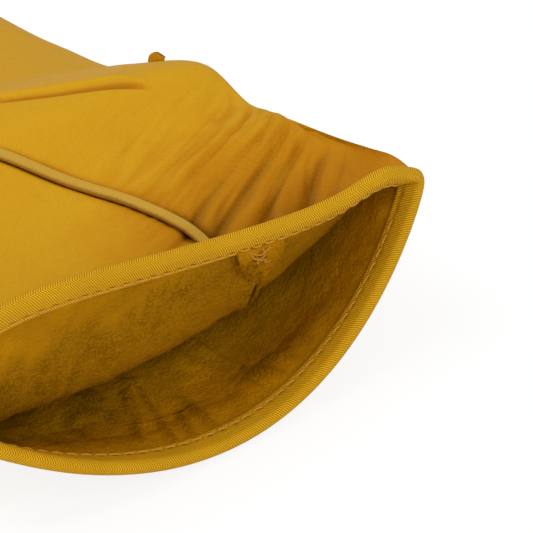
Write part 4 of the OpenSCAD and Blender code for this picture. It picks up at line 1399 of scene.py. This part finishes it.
class GLOVE_OT_thumb(bpy.types.Operator):
    """Models the thumb and the rolled seam at its root"""

    bl_idname = "glove.thumb"
    bl_label = "Thumb"

    YAW = 38.0
    START = -4 * MM
    BEND = (20 * MM, 36 * MM)
    COLS = 70
    # Each piece's two edges, depth of folds and solids
    PIECES = (
        ("front", (0, 0), (180, 0), 0.8, ("thumb_front", "thumb_crease")),
        ("back", (180, 0), (360, 0), 0.3, ("thumb_back",)),
    )
    SEAM_R = 0.9 * MM
    SEAM_SIDES = 10
    SEAM_REACH = 40 * MM  # The thumb leaves the hand within this distance from its root
    SEAM_FLOOR = 1.0 * MM
    EVENED = 6

    def execute(self, context):
        s = sizes()
        root = (-s.palm_w + s.knuckle_w / 2 + 2 * MM, -s.hand_len / 2 + s.thumb_y, s.thumb_h / 2 + 2 * MM)
        digit = Digit(root, self.YAW, s.thumb_len, s.thumb_w, s.thumb_h)
        for part, lo, hi, folds, nodes in self.PIECES:
            panel = digit_panel(f"thumb_{part}_leather", digit, lo, hi, self.START, self.COLS, 130, folds)
            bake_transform(panel)
            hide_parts(*nodes)
        self.root_seam(digit)
        return {"FINISHED"}

    def root_seam(self, digit):
        """The rolled seam where the thumb comes out of the hand."""
        form = HandForm()
        reach = np.linspace(0, self.SEAM_REACH, 161)
        line = []
        for a in np.linspace(0, 360, 120, endpoint=False):
            p = digit.point(reach, a, 0.0)
            v = np.clip(p[:, 1] - form.y0, 0, sizes().hand_len)
            right, left = curve(form.stations, 1, v), curve(form.stations, 2, v)
            share = np.clip((p[:, 0] - right) / (left - right), 0, 1)
            angle = np.clip(np.degrees(np.arccos(1 - 2 * share)), 0.1, 179.9)
            top = form.point(v, angle)[:, 2]
            bottom = form.point(v, 360 - angle)[:, 2]
            outside = (share >= 1) | (p[:, 2] > top) | (p[:, 2] < bottom)
            line.append(p[np.argmax(outside)])
        line = np.array(line)
        for _ in range(self.EVENED):
            line = (np.roll(line, 1, axis=0) + 2 * line + np.roll(line, -1, axis=0)) / 4
        line[:, 2] = np.maximum(line[:, 2], self.SEAM_FLOOR)
        closed = np.concatenate([line, line[:2]])
        rings = tube_points(closed, self.SEAM_R, self.SEAM_SIDES)[:-2]
        points = np.concatenate([rings, rings[:1]]).reshape(-1, 3)
        faces = grid_faces(len(rings) + 1, self.SEAM_SIDES, wrap_cols=True).tolist()
        roll = new_object("thumb_root_seam", points, faces, np.zeros((len(points), 2)))
        merge_doubles(roll)
        turn_outward(roll)
        roll.data.materials.append(material(GRAIN))
        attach(roll, "hand")


class GLOVE_OT_stage(bpy.types.Operator):
    """Sets up the floor, the lamps and the camera"""

    bl_idname = "glove.stage"
    bl_label = "Stage"

    PICTURE = 533
    TIP_PIXEL = (421, 178)   # Where the cuff's tip lies in the picture
    SENSOR = 36.0
    FLOOR_SIZE = 8
    FLOOR_GLOW = 1.06        # How bright the floor looks to the camera,
    FLOOR_GLOW_SHARE = 0.80  # and how much of its look that is
    KEY_PLACE, KEY_SIZE = (-0.40, 0.25, 0.92), 0.6
    FRONT_PLACE, FRONT_SIZE = (-0.12, -0.95, 0.62), 1.0

    def camera(self, context):
        stage = context.scene.glove_stage
        s = sizes()
        tip = Vector((s.cuff_w / 2, -s.hand_len / 2, s.cuff_side_h))
        focal = stage.scale * stage.distance / MM
        right = self.TIP_PIXEL[0] - self.PICTURE / 2
        up = self.PICTURE / 2 - self.TIP_PIXEL[1]
        ray = math.hypot(right, up, focal)
        a, e = stage.azimuth, stage.elevation
        back = Vector((math.sin(a) * math.cos(e), -math.cos(a) * math.cos(e), math.sin(e)))
        turn = math.asin(right / ray / math.cos(e))
        level = math.cos(e) * math.cos(turn)
        tilt = math.asin(up / ray / math.hypot(level, math.sin(e))) + math.atan2(math.sin(e), level)
        data = bpy.data.cameras.new("camera")
        data.sensor_width = self.SENSOR
        data.lens = focal / self.PICTURE * self.SENSOR
        data.clip_start = 0.01
        data.clip_end = 20
        camera = bpy.data.objects.new("camera", data)
        camera.location = tip + back * stage.distance
        camera.rotation_euler = (math.pi / 2 - tilt, 0, a + turn)
        context.scene.collection.objects.link(camera)
        context.scene.camera = camera

    def lamp(self, context, name, place, power, size):
        data = bpy.data.lights.new(name, "AREA")
        data.energy = power
        data.size = size
        lamp = bpy.data.objects.new(name, data)
        lamp.location = place
        lamp.rotation_euler = (-Vector(place)).to_track_quat("-Z", "Y").to_euler()
        context.scene.collection.objects.link(lamp)

    def floor(self):
        bpy.ops.object.select_all(action="DESELECT")
        bpy.ops.mesh.primitive_plane_add(size=self.FLOOR_SIZE)
        floor = bpy.context.object
        floor.name = "floor"
        material = bpy.data.materials.new("pale_floor")
        material.use_nodes = True
        tree = material.node_tree
        nodes = Nodes(tree)
        shader = tree.nodes["Principled BSDF"]
        shader.inputs["Base Color"].default_value = (0.9, 0.9, 0.9, 1)
        shader.inputs["Roughness"].default_value = 0.9
        glow = nodes.add("ShaderNodeEmission", {"Color": (1, 1, 1, 1), "Strength": self.FLOOR_GLOW})
        path = nodes.add("ShaderNodeLightPath")
        seen = nodes.math("MAXIMUM", path.outputs["Is Camera Ray"], path.outputs["Is Glossy Ray"])
        seen = nodes.math("MAXIMUM", seen, path.outputs["Is Transmission Ray"])
        share = nodes.times(seen, self.FLOOR_GLOW_SHARE)
        mixed = nodes.add("ShaderNodeMixShader", {0: share, 1: shader.outputs[0], 2: glow.outputs[0]})
        tree.links.new(mixed.outputs[0], tree.nodes["Material Output"].inputs["Surface"])
        floor.data.materials.append(material)

    def sky(self, context):
        world = bpy.data.worlds.new("even_light")
        context.scene.world = world
        world.use_nodes = True
        tree = world.node_tree
        nodes = Nodes(tree)
        background = tree.nodes["Background"]
        background.inputs["Color"].default_value = (1, 1, 1, 1)
        path = nodes.add("ShaderNodeLightPath")
        light = context.scene.glove_stage.sky
        strength = nodes.plus(light, nodes.times(path.outputs["Is Camera Ray"], 1 - light))
        tree.links.new(strength, background.inputs["Strength"])

    def execute(self, context):
        stage = context.scene.glove_stage
        context.scene.view_settings.view_transform = "Standard"
        self.floor()
        self.sky(context)
        self.lamp(context, "key_lamp", self.KEY_PLACE, stage.key, self.KEY_SIZE)
        self.lamp(context, "front_lamp", self.FRONT_PLACE, stage.front, self.FRONT_SIZE)
        self.camera(context)
        return {"FINISHED"}


class GLOVE_PT_sidebar(bpy.types.Panel):
    """Lists the steps that model the glove"""

    bl_label = "Leather Work Glove"
    bl_idname = "GLOVE_PT_sidebar"
    bl_space_type = "VIEW_3D"
    bl_region_type = "UI"
    bl_category = "Glove"

    def draw(self, context):
        for step in STEPS:
            self.layout.operator(step.bl_idname)


STEPS = (
    GLOVE_OT_panels, GLOVE_OT_welt, GLOVE_OT_tongue, GLOVE_OT_binding, GLOVE_OT_stitches,
    GLOVE_OT_elastic, GLOVE_OT_tab, GLOVE_OT_fingers, GLOVE_OT_thumb, GLOVE_OT_stage,
)
CLASSES = (GloveSizes, GloveColours, GloveStage, *STEPS, GLOVE_PT_sidebar)


def register():
    for item in CLASSES:
        bpy.utils.register_class(item)
    bpy.types.Scene.glove_sizes = PointerProperty(type=GloveSizes)
    bpy.types.Scene.glove_colours = PointerProperty(type=GloveColours)
    bpy.types.Scene.glove_stage = PointerProperty(type=GloveStage)


def unregister():
    del bpy.types.Scene.glove_stage
    del bpy.types.Scene.glove_colours
    del bpy.types.Scene.glove_sizes
    for item in reversed(CLASSES):
        bpy.utils.unregister_class(item)


def main():
    register()
    for step in STEPS:
        group, name = step.bl_idname.split(".")
        getattr(getattr(bpy.ops, group), name)()


if __name__ == "__main__":
    main()
